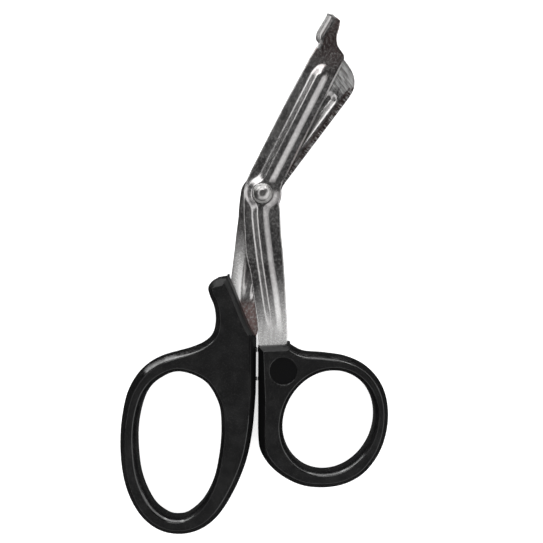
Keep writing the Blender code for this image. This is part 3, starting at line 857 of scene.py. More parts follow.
@dataclass
class StampedSheet(ABC):
    """What both sheets share: a leaning blade, the boss, the shank below it, and how they are made.

    The crossings give the outline, the pressing the height, and the marks say where the finish changes.
    """

    name: str
    node: str
    body: Body
    side: Side
    lean: float
    shank: Shank
    rib_centre: float
    rib_half: float
    rib_end: float
    sharp_rows: int
    rib_end_stretch: float = 1.0
    land_from: float = 7.0
    land_width: Point = (0.56, 0.5)
    boss_radius: float = 6.5
    boss_rim: float = 6.85
    boss_places: tuple[float, ...] = (0.95, 0.75, 0.5, 0.25, 0.0, -0.25, -0.5, -0.75, -0.95)
    row_step: float = 0.42
    least_steps: int = 2
    smoothing_passes: int = 10
    middle_columns: int = 30
    full_edge_width: float = 4.4
    merge: float = 0.0005
    drill_reach: float = 9.0
    drill_segments: int = 48
    crease: float = 32.0

    @abstractmethod
    def crossings(self) -> list[Crossing]:
        """Lay the lines across the sheet, from its tip to its tang."""

    @abstractmethod
    def marks(self, x: np.ndarray, y: np.ndarray, edge: np.ndarray, outer: np.ndarray) -> np.ndarray:
        """Return the marks of the finish at places on the sheet."""

    def across_blade(self, along: float, lean: float, *ends: object, rise: float = 0.0) -> Crossing:
        """Return a crossing of the blade.

        Args:
            along: Where it crosses the blade's line.
            lean: Its own lean.
            *ends: Its left and right ends, and how both are finished.
            rise: How far the foot rises there.

        Returns:
            The crossing.
        """
        x, y = along * heading(self.lean)[0]
        return Crossing(x, y, lean, *ends, rise=rise)

    def below_blade(self, blade: Point, shank: Point) -> list[Crossing]:
        """Lay the crossings of the boss, which turn from the blade's line to the shank's, and of the shank.

        Args:
            blade: Distances of the blade's left and right edges from its line.
            shank: The same for the shank.

        Returns:
            The crossings from the blade's side to the tang.
        """
        lines = []
        for share in self.boss_places:
            turn = 0.5 * (share + 1.0)
            line = self.lean * turn * turn * (3.0 - 2.0 * turn)
            place = share * self.boss_radius * heading(self.lean if share > 0.0 else 0.0)[0]
            off_axis = float(place @ heading(line)[0])
            centre = -float(place @ heading(line)[1])
            round_half = math.sqrt(max(self.boss_rim ** 2 - off_axis ** 2, 0.0))
            left = max(shank[0] + (blade[0] - shank[0]) * turn, round_half - centre)
            right = max(shank[1] + (blade[1] - shank[1]) * turn, round_half + centre)
            lines.append(Crossing(place[0], place[1], line, -left, right))
        return lines + [Crossing(0.0, row[0], 0.0, row[1], row[2]) for row in self.shank.rows]

    def row_places(self, edges: Sequence[np.ndarray]) -> np.ndarray:
        """Return the place of every row among the crossings, as an index with a share.

        Args:
            edges: The left and the right ends of the crossings.

        Returns:
            The places.
        """
        places = [0.0]
        for index in range(len(edges[0]) - 1):
            reach = max(np.linalg.norm(edge[index + 1] - edge[index]) for edge in edges)
            steps = max(self.least_steps, math.ceil(reach / self.row_step))
            places += [index + (step + 1) / steps for step in range(steps)]
        return np.array(places)

    def traced_edges(self, lines: list[Crossing]) -> tuple[np.ndarray, np.ndarray, np.ndarray]:
        """Trace both edges, smoothed below the sharp rows at the tip.

        Args:
            lines: The sheet's crossings.

        Returns:
            The left and right edge points of every row, and each row's place among the crossings.
        """
        ends = [np.array(edge) for edge in zip(*(line.ends() for line in lines))]
        places = self.row_places(ends)
        knots = np.arange(len(lines))
        edges = []
        for edge in ends:
            traced = np.stack([np.interp(places, knots, edge[:, axis]) for axis in (0, 1)], axis=1)
            smooth = traced.copy()
            for _ in range(self.smoothing_passes):
                smooth[1:-1] = 0.25 * smooth[:-2] + 0.5 * smooth[1:-1] + 0.25 * smooth[2:]
            keep = smooth_step(self.sharp_rows, self.sharp_rows + 1.0, places)[:, None]
            edges.append(traced + keep * (smooth - traced))
        return edges[0], edges[1], places

    def edge_block(self, places: np.ndarray, kinds: list[EdgeKind], rises: list[float],
                   widths: np.ndarray) -> tuple[np.ndarray, np.ndarray]:
        """Lay the columns along an edge, row by row.

        Args:
            places: Each row's place among the crossings.
            kinds: The finish at each crossing.
            rises: How far the foot rises at each crossing.
            widths: The sheet's width at each row.

        Returns:
            The distances from the edge and the heights over the full thickness, by row and column.
        """
        knots = np.arange(len(kinds))
        rise = np.interp(places, knots, rises)[:, None]
        distance, height = 0.0, 0.0
        for kind, (offsets, lifts) in EDGE_BLOCKS.items():
            share = np.interp(places, knots, [1.0 if own is kind else 0.0 for own in kinds])[:, None]
            distance = distance + share * np.array(offsets)[None, :]
            height = height + share * np.array(lifts)[None, :] * (rise if kind is EdgeKind.FOOT else 1.0)
        return distance * np.minimum(1.0, widths / self.full_edge_width)[:, None], height

    def rings(self) -> tuple[np.ndarray, np.ndarray]:
        """Lay the points of every row round the sheet.

        Returns:
            The rings of points round the sheet, and the marks of the finish at each point.
        """
        lines = self.crossings()
        rises = [line.rise for line in lines]
        left, right, places = self.traced_edges(lines)
        widths = np.linalg.norm(right - left, axis=1)
        left_out, left_high = self.edge_block(places, [line.left_kind for line in lines], rises, widths)
        right_out, right_high = self.edge_block(places, [line.right_kind for line in lines], rises, widths)
        share = (np.arange(self.middle_columns) + 1.0) / (self.middle_columns + 1.0)
        low, high = left_out[:, -1:], widths[:, None] - right_out[:, -1:]
        middle = low + (high - low) * share[None, :]
        across = np.concatenate([left_out, middle, widths[:, None] - right_out[:, ::-1]], axis=1)
        over = np.concatenate([left_high, np.zeros_like(middle), right_high[:, ::-1]], axis=1)
        way = (right - left) / widths[:, None]
        plan = left[:, None, :] + across[:, :, None] * way[:, None, :]
        x, y = plan[..., 0], plan[..., 1]
        pressing = Pressing(self.lean, self.rib_centre, self.rib_half, self.rib_end, self.shank,
                            self.rib_end_stretch)
        base = 0.5 * PARTING_GAP + pressing.height(x, y)
        inner = np.stack([x, y, self.side.value * base], axis=2)
        outer = np.stack([x, y, self.side.value * (base + SHEET_THICK + over)], axis=2)
        edge = np.minimum(across, widths[:, None] - across)
        inner_marks = self.marks(x, y, edge, np.zeros_like(x))
        outer_marks = self.marks(x, y, edge, np.ones_like(x))
        return (np.concatenate([inner, outer[:, ::-1]], axis=1),
                np.concatenate([inner_marks, outer_marks[:, ::-1]], axis=1))

    def wrap(self) -> Piece:
        """Wrap the sheet round its rings, write its marks on it and close its ends.

        Returns:
            The sheet, not yet bored.
        """
        rings, marks = self.rings()
        sheet = add_skin(self.name, rings)
        layer = sheet.data.attributes.new("marks", "FLOAT_COLOR", "POINT")
        layer.data.foreach_set("color", np.concatenate([marks, marks[:, :1]], axis=1).ravel())
        face_outwards(sheet, self.merge)
        fill_border(sheet, lambda place: place.y > PIVOT[1])
        fill_border(sheet, lambda place: place.y < PIVOT[1])
        face_outwards(sheet, self.merge)
        return sheet

    def bore(self, sheet: Piece) -> None:
        """Bore the sheet for the rivet.

        Args:
            sheet: The closed sheet.
        """
        profile = ((BORE_RADIUS, -self.drill_reach), (BORE_RADIUS, self.drill_reach))
        drill = add_turned(self.name + "_drill", (0.0, 0.0), profile, self.drill_segments)
        fill_border(drill, lambda place: place.z < PIVOT[2])
        fill_border(drill, lambda place: place.z > PIVOT[2])
        face_outwards(drill)
        cut = sheet.modifiers.new("bore", "BOOLEAN")
        cut.object = drill
        cut.operation = "DIFFERENCE"
        cut.solver = "EXACT"
        take_only(sheet)
        bpy.ops.object.modifier_apply(modifier=cut.name)
        bpy.data.objects.remove(drill, do_unlink=True)

    def dress(self, sheet: Piece) -> None:
        """Shade the sheet, give it its steel and put it on its body.

        Args:
            sheet: The bored sheet.
        """
        shade_smooth(sheet, self.crease)
        sheet.data.materials.clear()
        sheet.data.materials.append(TumbledSteel(self.node + "_steel", self.lean).material())
        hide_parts(self.node)
        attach(sheet, self.body.value)

    def build(self) -> list[Piece]:
        """Build, bore and dress the sheet.

        Returns:
            The sheet alone.
        """
        sheet = self.wrap()
        self.bore(sheet)
        self.dress(sheet)
        return [sheet]


@dataclass
class LowerBlade(StampedSheet):
    """The front sheet, in the thumb handle, with the turned-up foot.

    A row of the tip holds its distance past the blade's length, its turn back from the blade's lean, how far
    its left end stands out from the spine, how far its right end lies in from the edge, and its share of the
    foot's rise. A row of the blade holds its place along it, its spine and its edge.
    """

    name: str = "lower_blade_sheet"
    node: str = "lower_blade"
    body: Body = Body.THUMB
    side: Side = Side.ABOVE
    lean: float = 27.0
    spine: float = 7.45
    edge: float = 4.45
    length: float = 57.0
    foot_rise: float = 3.0
    foot_neck: float = 2.0
    boss_edge: float = 4.75
    boss_sides: Point = (6.85, 6.35)
    rib_centre: float = -0.9
    rib_half: float = 3.7
    rib_end: float = 45.9
    rib_end_stretch: float = 1.7
    sharp_rows: int = 11
    tip: tuple[tuple[float, float, float, float, float], ...] = (
        (15.15, 27.0, 2.31, 11.81, 0.3), (12.02, 17.9, 1.29, 7.80, 1.0), (8.73, 3.6, 0.93, 6.93, 1.0),
        (5.3, 0.0, 1.1, 6.3, 1.0), (3.9, 0.0, 1.18, 5.58, 1.0), (2.6, 0.0, 1.3, 4.54, 1.0),
        (1.9, 0.0, 1.1, 3.15, 1.0), (1.0, 0.0, 0.4, 1.35, 1.0), (0.65, 0.0, -0.35, 0.95, 1.0),
        (0.4, 0.0, -0.85, 0.65, 0.0), (-0.4, 0.0, -0.85, 0.3, 0.0), (-1.0, 0.0, -0.8, 0.12, 0.0),
        (-2.5, 0.0, -0.65, 0.0, 0.0),
    )
    blade: tuple[tuple[float, float, float], ...] = (
        (52.1, 7.05, 4.45), (48.4, 7.05, 4.45), (33.9, 7.45, 4.54), (21.8, 7.45, 4.62), (12.35, 7.45, 4.67),
        (8.1, 7.45, 4.7),
    )
    shank: Shank = Shank((
        (-8.0, -6.85, 6.35, -0.75, 3.7), (-14.0, -6.5, 6.6, -0.2, 3.7), (-20.5, -6.2, 7.3, 0.6, 3.7),
        (-23.5, -5.6, 7.5, 0.95, 3.7), (-28.5, -4.4, 7.85, 1.7, 3.7), (-36.0, -3.4, 8.3, 2.8, 3.7),
        (-43.0, -2.35, 8.65, 3.8, 3.5), (-48.5, -1.65, 8.95, 4.4, 3.2), (-50.0, -1.55, 9.0, 4.5, 3.0),
        (-54.6, -1.3, 8.8, 4.5, 3.0), (-57.5, 0.0, 6.2, 3.1, 3.0), (-61.0, 0.5, 5.3, 2.9, 3.0),
        (-84.0, 0.6, 5.2, 2.9, 3.0),
    ), -40.0, -55.0)
    inner_from: Point = (6.0, 9.0)
    inner_right_of: Point = (-1.0, 1.5)
    foot_from: float = 55.5
    foot_left_of: float = -5.0
    # The foot's satin and the satin towards the handle: a rougher finish whose pale colour is a painted
    # sheen.
    foot_satin_sheen: float = 0.42
    foot_satin_sheen_width: Point = (1.22, 1.1)
    foot_undarkened_width: Point = (3.3, 2.9)
    satin_sheen_most: float = 0.64
    satin_sheen_fade: Point = (-26.5, -52.0)
    satin_sheen_slant: Point = (0.8, 4.0)
    # Reddish darkening towards the tip.
    reddish_dark_most: float = 0.75
    reddish_dark_fade: Point = (44.0, 60.0)

    def crossings(self) -> list[Crossing]:
        """Lay the lines across the sheet.

        Returns:
            The crossings from the tip to the tang.
        """
        lines = []
        for past, back, overhang, inset, share in self.tip:
            foot = share > 0.0
            lines.append(self.across_blade(
                self.length + past, self.lean - back, -self.spine - overhang, self.edge - inset,
                EdgeKind.FOOT if foot else EdgeKind.PUNCHED,
                EdgeKind.PUNCHED if foot and past > self.foot_neck else EdgeKind.GROUND,
                rise=share * self.foot_rise))
        lines += [self.across_blade(along, self.lean, -spine, edge, EdgeKind.PUNCHED, EdgeKind.GROUND)
                  for along, spine, edge in self.blade]
        return lines + self.below_blade((self.spine, self.boss_edge), self.boss_sides)

    def marks(self, x: np.ndarray, y: np.ndarray, edge: np.ndarray, outer: np.ndarray) -> np.ndarray:
        """Return the marks of the finish at places on the sheet.

        Args:
            x: The places' x.
            y: Their y.
            edge: Their distance from the nearer edge.
            outer: 1 on the outer face and 0 on the inner one.

        Returns:
            How ground, how satin with a painted sheen, how reddish dark and how ticked the sheet is there, on
            a last axis of four.
        """
        along, across = from_line(x, y, self.lean)
        land = (along > self.land_from) * (across > 0.0) * smooth_step(*self.land_width, edge) * outer
        inner = smooth_step(*self.inner_from, along) * smooth_step(*self.inner_right_of, across)
        foot = (along > self.foot_from) * (across < self.foot_left_of) * outer
        # Satin with a painted sheen, paler towards the handle and along the foot's edges.
        slant, slant_from = self.satin_sheen_slant
        satin_sheen = self.satin_sheen_most * smooth_step(*self.satin_sheen_fade, y - slant * (x - slant_from))
        satin_sheen = np.maximum(satin_sheen, self.foot_satin_sheen * foot * smooth_step(*self.foot_satin_sheen_width, edge))
        # Reddish darkening towards the tip, kept off the foot's edges.
        undarkened = foot * smooth_step(*self.foot_undarkened_width, edge)
        reddish_dark = self.reddish_dark_most * smooth_step(*self.reddish_dark_fade, along) * (1.0 - undarkened)
        return np.stack([np.maximum(land, inner * (1.0 - outer)), satin_sheen, reddish_dark, np.zeros_like(x)], axis=-1)


@dataclass
class UpperBlade(StampedSheet):
    """The sheet behind, in the finger handle, with the round nose and the ground inner face."""

    name: str = "upper_blade_sheet"
    node: str = "upper_blade"
    body: Body = Body.FINGER
    side: Side = Side.BELOW
    lean: float = 36.9
    spine: float = 4.04
    edge: float = 7.2
    length: float = 56.4
    nose: float = 10.0
    nose_curve: Point = (2.6, 0.62)
    tip_width: float = 0.6
    boss_sides: Point = (8.6, 6.35)
    rib_centre: float = -1.7
    rib_half: float = 3.5
    rib_end: float = 42.0
    sharp_rows: int = 14
    nose_shares: tuple[float, ...] = (
        1.0, 0.996, 0.985, 0.97, 0.95, 0.92, 0.88, 0.82, 0.76, 0.7, 0.6, 0.5, 0.4, 0.25, 0.0)
    blade: tuple[float, ...] = (42.0, 29.4, 18.9, 12.35, 8.1)
    shank: Shank = Shank((
        (-8.0, -8.6, 6.35, -0.6, 3.5), (-14.0, -9.4, 5.8, -1.6, 3.5), (-20.5, -10.1, 5.0, -2.8, 3.4),
        (-27.0, -10.9, 3.3, -3.9, 3.2), (-33.5, -11.7, 1.6, -4.9, 2.9), (-38.5, -12.1, 0.2, -5.6, 2.4),
        (-41.0, -12.3, -0.5, -5.9, 2.0), (-46.5, -12.7, -1.4, -7.0, 2.0), (-50.0, -12.9, -1.75, -8.0, 2.0),
        (-51.2, -12.9, -2.1, -8.4, 2.0), (-52.2, -12.9, -3.4, -8.5, 2.0), (-56.0, -12.6, -5.4, -9.0, 2.0),
        (-62.0, -12.0, -6.2, -9.1, 2.0), (-88.0, -11.9, -6.8, -9.35, 2.0),
    ), -30.0, -42.0)
    patch_from: Point = (44.5, 47.0)
    patch_waves: tuple[tuple[float, float, float], ...] = ((1.2, 1.9, 0.0), (0.8, 4.7, 1.0))
    patch_slant: Point = (1.9, 1.2)
    tick_width: Point = (1.5, 0.9)
    tick_from: float = 8.0
    tick_right_of: float = 2.0
    flank_from: Point = (0.2, 0.9)
    flank_to: Point = (2.8, 2.2)
    # Painted sheen: a little satin on the rib's inner flank, and satin with a pale painted sheen on the
    # shank.
    gleam: float = 0.12
    gleam_from: Point = (8.0, 14.0)
    gleam_to: Point = (44.0, 41.0)
    satin_sheen_fade: Point = (-8.0, -36.0)
    groove_sides: Point = (0.2, -0.5)
    groove_fade: Point = (-42.0, -38.0)
    groove_sheen_cut: float = 0.9
    left_fade: Point = (-8.2, -11.4)
    left_sheen_cut: float = 0.6
    band_right_of: Point = (1.6, 2.4)
    band_from: Point = (9.0, 14.0)
    # Reddish darkening: on the band of the inner face it is a painted dark reflection; it also lies below the
    # groove's end.
    band_reddish_dark: float = 0.85
    groove_end: Point = (-37.0, -40.5)
    groove_end_sheen_cut: float = 0.7

    def crossings(self) -> list[Crossing]:
        """Lay the lines across the sheet.

        Returns:
            The crossings from the tip to the tang.
        """
        lines = []
        bulge, rounding = self.nose_curve
        narrow = -self.edge + self.tip_width
        for share in self.nose_shares:
            along = self.length - self.nose * (1.0 - share)
            rounded = (1.0 - share ** bulge) ** rounding
            right = narrow + (self.spine + self.edge - self.tip_width) * rounded
            lines.append(self.across_blade(along, self.lean, -self.edge, right, EdgeKind.GROUND))
        lines += [self.across_blade(along, self.lean, -self.edge, self.spine, EdgeKind.GROUND)
                  for along in self.blade]
        return lines + self.below_blade((self.edge, self.spine), self.boss_sides)

    def sheen_and_reddish_dark(self, x: np.ndarray, y: np.ndarray,
                        outer: np.ndarray) -> tuple[np.ndarray, np.ndarray]:
        """Return how satin, with a painted sheen, and how reddish dark the sheet is.

        Args:
            x: The places' x.
            y: Their y.
            outer: 1 on the outer face and 0 on the inner one.

        Returns:
            The two marks.
        """
        along, across = from_line(x, y, self.lean)
        off_rib = across - self.rib_centre
        flank = smooth_step(*self.flank_from, off_rib) * smooth_step(*self.flank_to, off_rib)
        stretch = smooth_step(*self.gleam_from, along) * smooth_step(*self.gleam_to, along)
        centre, half = self.shank.rib_at(y)
        beside, within = self.groove_sides
        groove = smooth_step(half + beside, half + within, np.abs(x - centre))
        groove = groove * smooth_step(*self.groove_fade, y)
        # Satin whose pale colour is a painted sheen, cut back in the groove and on the left.
        satin_sheen = smooth_step(*self.satin_sheen_fade, y) * (1.0 - self.groove_sheen_cut * groove)
        satin_sheen = satin_sheen * (1.0 - self.left_sheen_cut * smooth_step(*self.left_fade, x))
        # The band: a painted dark reflection.
        band = smooth_step(*self.band_right_of, across) * smooth_step(*self.band_from, along) * (1.0 - outer)
        groove_end = smooth_step(*self.groove_end, y) * (1.0 - outer)
        # The rib's inner flank gets a little painted sheen.
        satin_sheen = np.maximum(satin_sheen * (1.0 - self.groove_end_sheen_cut * groove_end),
                           self.gleam * flank * stretch * (1.0 - outer))
        return satin_sheen, np.maximum(self.band_reddish_dark * band, groove_end)

    def marks(self, x: np.ndarray, y: np.ndarray, edge: np.ndarray, outer: np.ndarray) -> np.ndarray:
        """Return the marks of the finish at places on the sheet.

        Args:
            x: The places' x.
            y: Their y.
            edge: Their distance from the nearer edge.
            outer: 1 on the outer face and 0 on the inner one.

        Returns:
            How ground, how satin with a painted sheen, how reddish dark and how ticked the sheet is there, on
            a last axis of four.
        """
        along, across = from_line(x, y, self.lean)
        land = (along > self.land_from) * (across < 0.0) * smooth_step(*self.land_width, edge) * outer
        wander = sum(size * np.sin(rate * across + shift) for size, rate, shift in self.patch_waves)
        slant, slant_from = self.patch_slant
        border = along + wander - slant * np.maximum(across - slant_from, 0.0)
        patch = smooth_step(*self.patch_from, border) * (1.0 - outer)
        tick_band = (across > self.tick_right_of) * (along > self.tick_from) * (1.0 - outer) * (1.0 - patch)
        ticks = smooth_step(*self.tick_width, edge) * tick_band
        satin_sheen, reddish_dark = self.sheen_and_reddish_dark(x, y, outer)
        return np.stack([np.maximum(land, patch), satin_sheen, reddish_dark, ticks], axis=-1)


@dataclass
class PivotHardware:
    """The rivet through both bosses and the washer under its tail, by radius and height."""

    seat: float = 2.8
    shank_end: float = -3.55
    radius: float = 2.0
    segments: int = 96
    crease: float = 35.0
    head: tuple[Point, ...] = (
        (0.25, 4.61), (0.5, 4.63), (0.8, 4.65), (1.1, 4.61), (1.4, 4.52), (1.7, 4.38), (2.0, 4.2),
        (2.3, 3.98), (2.55, 3.76), (2.8, 3.52), (2.98, 3.33), (3.1, 3.24), (3.22, 3.21), (3.36, 3.2),
        (3.48, 3.15), (3.57, 3.05), (3.6, 2.95), (3.58, 2.83), (3.54, 2.8),
    )
    tail: tuple[Point, ...] = (
        (2.92, -3.55), (3.0, -3.64), (3.0, -3.9), (2.94, -4.08), (2.7, -4.36), (2.3, -4.6), (1.85, -4.75),
        (1.5, -4.8), (1.1, -4.76), (0.6, -4.72), (0.0, -4.72),
    )
    washer: tuple[Point, ...] = (
        (BORE_RADIUS, -2.88), (2.16, -2.8), (3.86, -2.8), (3.96, -2.83), (4.0, -2.92), (4.0, -3.18),
        (3.96, -3.27), (3.86, -3.3), (2.16, -3.3), (BORE_RADIUS, -3.22), (BORE_RADIUS, -2.88),
    )

    def dress(self, piece: Piece, steel: bpy.types.Material, node: str) -> None:
        """Close and shade a piece, give it its steel and put it on its body.

        Args:
            piece: The rivet or the washer.
            steel: The finish of both.
            node: The CAD node that it replaces.
        """
        face_outwards(piece)
        shade_smooth(piece, self.crease)
        piece.data.materials.append(steel)
        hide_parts(node)
        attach(piece, Body.FINGER.value)

    def build(self) -> list[Piece]:
        """Build and dress both pieces.

        Returns:
            The rivet and the washer.
        """
        axis = (0.0, 0.0)
        profile = (*self.head, (self.radius, self.seat), (self.radius, self.shank_end), *self.tail)
        rivet = add_turned("pivot_rivet_turned", axis, profile, self.segments, capped=True)
        washer = add_turned("rivet_washer_turned", axis, self.washer, self.segments)
        steel = TurnedSteel("rivet_steel_polished").material()
        self.dress(rivet, steel, "pivot_rivet")
        self.dress(washer, steel, "rivet_washer")
        return [rivet, washer]


@dataclass(frozen=True)
class Knot:
    """A point of a handle's outline, the widths of its bevel and steep wall, and whether it is a corner."""

    x: float
    y: float
    bevel: float
    steep: float = 0.1
    corner: bool = False


def spline_round(knots: Sequence[Knot], step: float) -> np.ndarray:
    """Return points round a closed outline; a span between two corners stays straight.

    Args:
        knots: The outline's knots.
        step: Spacing of the points on curved spans.

    Returns:
        An array of x, y, bevel width and steep width.
    """
    rows = np.array([(knot.x, knot.y, knot.bevel, knot.steep) for knot in knots])
    count = len(knots)
    points = []
    for index, knot in enumerate(knots):
        following = (index + 1) % count
        start, end = rows[index], rows[following]
        if knot.corner and knots[following].corner:
            points.append(start)
            continue
        before = start if knot.corner else rows[index - 1]
        after = end if knots[following].corner else rows[(index + 2) % count]
        steps = max(2, math.ceil(float(np.hypot(*(end - start)[:2])) / step))
        for number in range(steps):
            t = number / steps
            points.append(0.5 * (2.0 * start + (end - before) * t
                                 + (2.0 * before - 5.0 * start + 4.0 * end - after) * t * t
                                 + (3.0 * start - before - 3.0 * end + after) * t ** 3))
    return np.array(points)


def ellipse_round(centre: Point, long_half: float, short_half: float, turn: float, count: int) -> np.ndarray:
    """Return points round an ellipse.

    Args:
        centre: Its centre in the pivot's drawing.
        long_half: Half the long axis.
        short_half: Half the short axis.
        turn: Turn of the long axis from +X.
        count: Number of points.

    Returns:
        An array of x and y.
    """
    angles = np.linspace(0.0, 2.0 * math.pi, count, endpoint=False)
    along = np.array((math.cos(math.radians(turn)), math.sin(math.radians(turn))))
    across = np.array((-along[1], along[0]))
    return (np.array(centre) + long_half * np.cos(angles)[:, None] * along
            + short_half * np.sin(angles)[:, None] * across)


def miters(points: np.ndarray, least_cosine: float = 0.5) -> np.ndarray:
    """Return the way inwards at each point of a closed outline.

    Args:
        points: Rows that start with x and y.
        least_cosine: Cosine of half the turn beyond which a miter grows no longer.

    Returns:
        The miter vector of each point for an inset of one, kept short at sharp corners.
    """
    plan = points[:, :2]
    before, after = np.roll(plan, 1, axis=0), np.roll(plan, -1, axis=0)
    area = float(np.sum(before[:, 0] * plan[:, 1] - plan[:, 0] * before[:, 1]))
    turn = 1.0 if area > 0.0 else -1.0
    normals = []
    for line in (plan - before, after - plan):
        unit = line / np.linalg.norm(line, axis=1)[:, None]
        normals.append(turn * np.stack([-unit[:, 1], unit[:, 0]], axis=1))
    middle = normals[0] + normals[1]
    middle /= np.linalg.norm(middle, axis=1)[:, None]
    cosine = np.maximum(np.sum(middle * normals[1], axis=1), least_cosine)
    return middle / cosine[:, None]


def soften(profile: np.ndarray, radii: Sequence[float], steps: int, most: float = 0.45) -> np.ndarray:
    """Round the inner corners of a profile that runs through one array per corner.

    Args:
        profile: Array of corner, place round the outline, and inset and height.
        radii: Reach of the rounding at each corner, zero for none.
        steps: Points on each rounding.
        most: Largest share of a side that a rounding may take.

    Returns:
        Array of row, place round the outline, and inset and height.
    """
    rows = []
    for index, radius in enumerate(radii):
        corner = profile[index]
        if radius == 0.0:
            rows.append(corner)
            continue
        arms = []
        for other in (profile[index - 1], profile[index + 1]):
            arm = other - corner
            length = np.maximum(np.linalg.norm(arm, axis=1), 1e-6)[:, None]
            arms.append(corner + arm / length * np.minimum(radius, most * length))
        for step in range(steps):
            t = step / (steps - 1)
            rows.append((1.0 - t) ** 2 * arms[0] + 2.0 * t * (1.0 - t) * corner + t * t * arms[1])
    return np.array(rows)


@dataclass
class RingHandle:
    """A moulded handle: a bevelled outer skin, a bevelled finger hole, flats between them and small blocks.

    Insets run inwards from the outline. A zone is a range of x and the y above or below which it lies. The
    recess is its centre, its radius and its depth, and its rim, foot and floor run inwards from its edge.
    """

    name: str
    node: str
    body: Body
    outline: tuple[Knot, ...]
    hole: np.ndarray
    blocks: Sequence[Block]
    peak_zone: tuple[float, float, float]
    recess: tuple[float, float, float, float] | None = None
    step: float = 0.55
    flat_margin: float = 0.45
    bevel_drop: float = 2.2
    bevel_turns: Point = (0.7, 0.9)
    steep_from: float = 0.5
    steep_drop: float = 1.45
    steep_foot: float = 0.25
    parting_foot: float = 0.1
    parting_inset: float = 0.1
    wall_inset: float = 0.02
    lower_inset: float = 0.04
    hole_margin: float = 0.4
    hole_bevel: float = 1.35
    hole_drop: float = 1.5
    hole_draft: float = 0.05
    hole_turns: tuple[float, float, float] = (0.5, 0.9, 1.2)
    turn_steps: int = 6
    recess_rim: tuple[Point, ...] = ((0.45, 0.0), (0.25, 0.0), (0.13, 0.02), (0.03, 0.08), (-0.04, 0.18))
    recess_foot: tuple[Point, ...] = ((-0.08, 0.12), (-0.16, 0.03), (-0.34, 0.0))
    recess_floor: tuple[Point, ...] = ((0.5, 0.02), (0.1, 0.03), (0.0, 0.03))
    recess_segments: int = 96
    sunk_from: float = 0.2
    sunk_to: float = 1.2
    block_rounding: float = 0.15
    border_reach: float = 0.01
    flat_facing: float = 0.985
    wall_facing: float = 0.3
    closing_zone: tuple[float, float, float] = (-4.8, 0.8, -50.5)
    strip_zone: tuple[float, float, float] = (-13.5, 0.0, -50.5)
    crease: float = 30.0

    def skin_through(self, points: np.ndarray, corners: Sequence[tuple], radii: Sequence[float],
                     name: str) -> Piece:
        """Wrap a skin round an outline through a softened profile.

        Args:
            points: The outline.
            corners: Inset and height of each corner of the profile, one for all points or one for each.
            radii: Reach of the rounding at each corner.
            name: Name of the new piece.

        Returns:
            The open skin.
        """
        count = len(points)
        profile = np.array([np.stack([np.broadcast_to(value, count) for value in corner], axis=1)
                            for corner in corners])
        rows = soften(profile, radii, self.turn_steps)
        plan = points[None, :, :2] + rows[:, :, :1] * miters(points)[None, :, :]
        return add_skin(name, np.concatenate([plan, rows[:, :, 1:]], axis=2))

    def outer_skin(self) -> Piece:
        """Build the outer skin, from the upper flat round the wall to the lower flat.

        Returns:
            The open skin.
        """
        points = spline_round(self.outline, self.step)
        steep = points[:, 3]
        whole = points[:, 2] + steep
        deep = steep > self.steep_from
        top, low = HALF_HANDLE, self.bevel_drop
        corners = (
            (whole + self.flat_margin, top),
            (whole, top),
            (steep, np.where(deep, top - self.steep_drop, top - low)),
            (self.wall_inset, np.where(deep, self.steep_foot, self.parting_foot)),
            (self.parting_inset, 0.0),
            (self.wall_inset, -self.parting_foot),
            (self.lower_inset, low - top),
            (whole, -top),
            (whole + self.flat_margin, -top),
        )
        shoulder, foot = self.bevel_turns
        radii = (0.0, shoulder, foot, 0.0, 0.0, 0.0, foot, shoulder, 0.0)
        return self.skin_through(points, corners, radii, self.name)

    def hole_skin(self) -> Piece:
        """Build the skin of the finger hole, whose lower half mirrors the upper one.

        Returns:
            The open skin.
        """
        upper = (
            (-(self.hole_bevel + self.hole_margin), HALF_HANDLE),
            (-self.hole_bevel, HALF_HANDLE),
            (-self.hole_draft, HALF_HANDLE - self.hole_drop),
        )
        lower = [(inset, -height) for inset, height in reversed(upper)]
        shoulder, foot, middle = self.hole_turns
        radii = (0.0, shoulder, foot, middle, foot, shoulder, 0.0)
        return self.skin_through(self.hole, (*upper, (0.0, 0.0), *lower), radii, self.name + "_hole")

    def recess_dish(self) -> Piece:
        """Build the round recess in the upper flat.

        Returns:
            The open dish.
        """
        x, y, radius, depth = self.recess
        floor = HALF_HANDLE - depth
        profile = [(radius + out, HALF_HANDLE - down) for out, down in self.recess_rim]
        profile += [(radius + out, floor + up) for out, up in self.recess_foot]
        profile += [(share * radius, floor + up) for share, up in self.recess_floor]
        return add_turned(self.name + "_recess", (x, y), profile, self.recess_segments)

    def texture_of(self, face: bpy.types.MeshPolygon) -> PlasticTexture:
        """Choose a face's finish by its place and the way it faces.

        Args:
            face: The face.

        Returns:
            The finish: painted shade, black and dull, in the recess and on the closing edge, grained on the
            flats, faceted on the handle's peak and on the strip beside the finger rest, and smooth elsewhere.
        """
        x, y, z = (np.array(face.center) - PIVOT) / MM
        normal = face.normal
        flat = abs(normal.z) > self.flat_facing
        sunk = self.sunk_from < HALF_HANDLE - z < self.sunk_to
        left, right, top = self.closing_zone
        closing = left < x < right and y < top and abs(normal.x) > self.wall_facing
        # Painted shade: the closing faces and the recess floor, which lie in shade, get the dull black.
        if closing or (flat and sunk):
            return PlasticTexture.PAINTED_SHADE
        if flat:
            return PlasticTexture.GRAINED
        left, right, bottom = self.peak_zone
        peak = left < x < right and y > bottom and normal.y > self.wall_facing
        left, right, bottom = self.strip_zone
        strip = left < x < right and y > bottom and normal.x > self.wall_facing
        return PlasticTexture.FACETED if peak or strip else PlasticTexture.SMOOTH

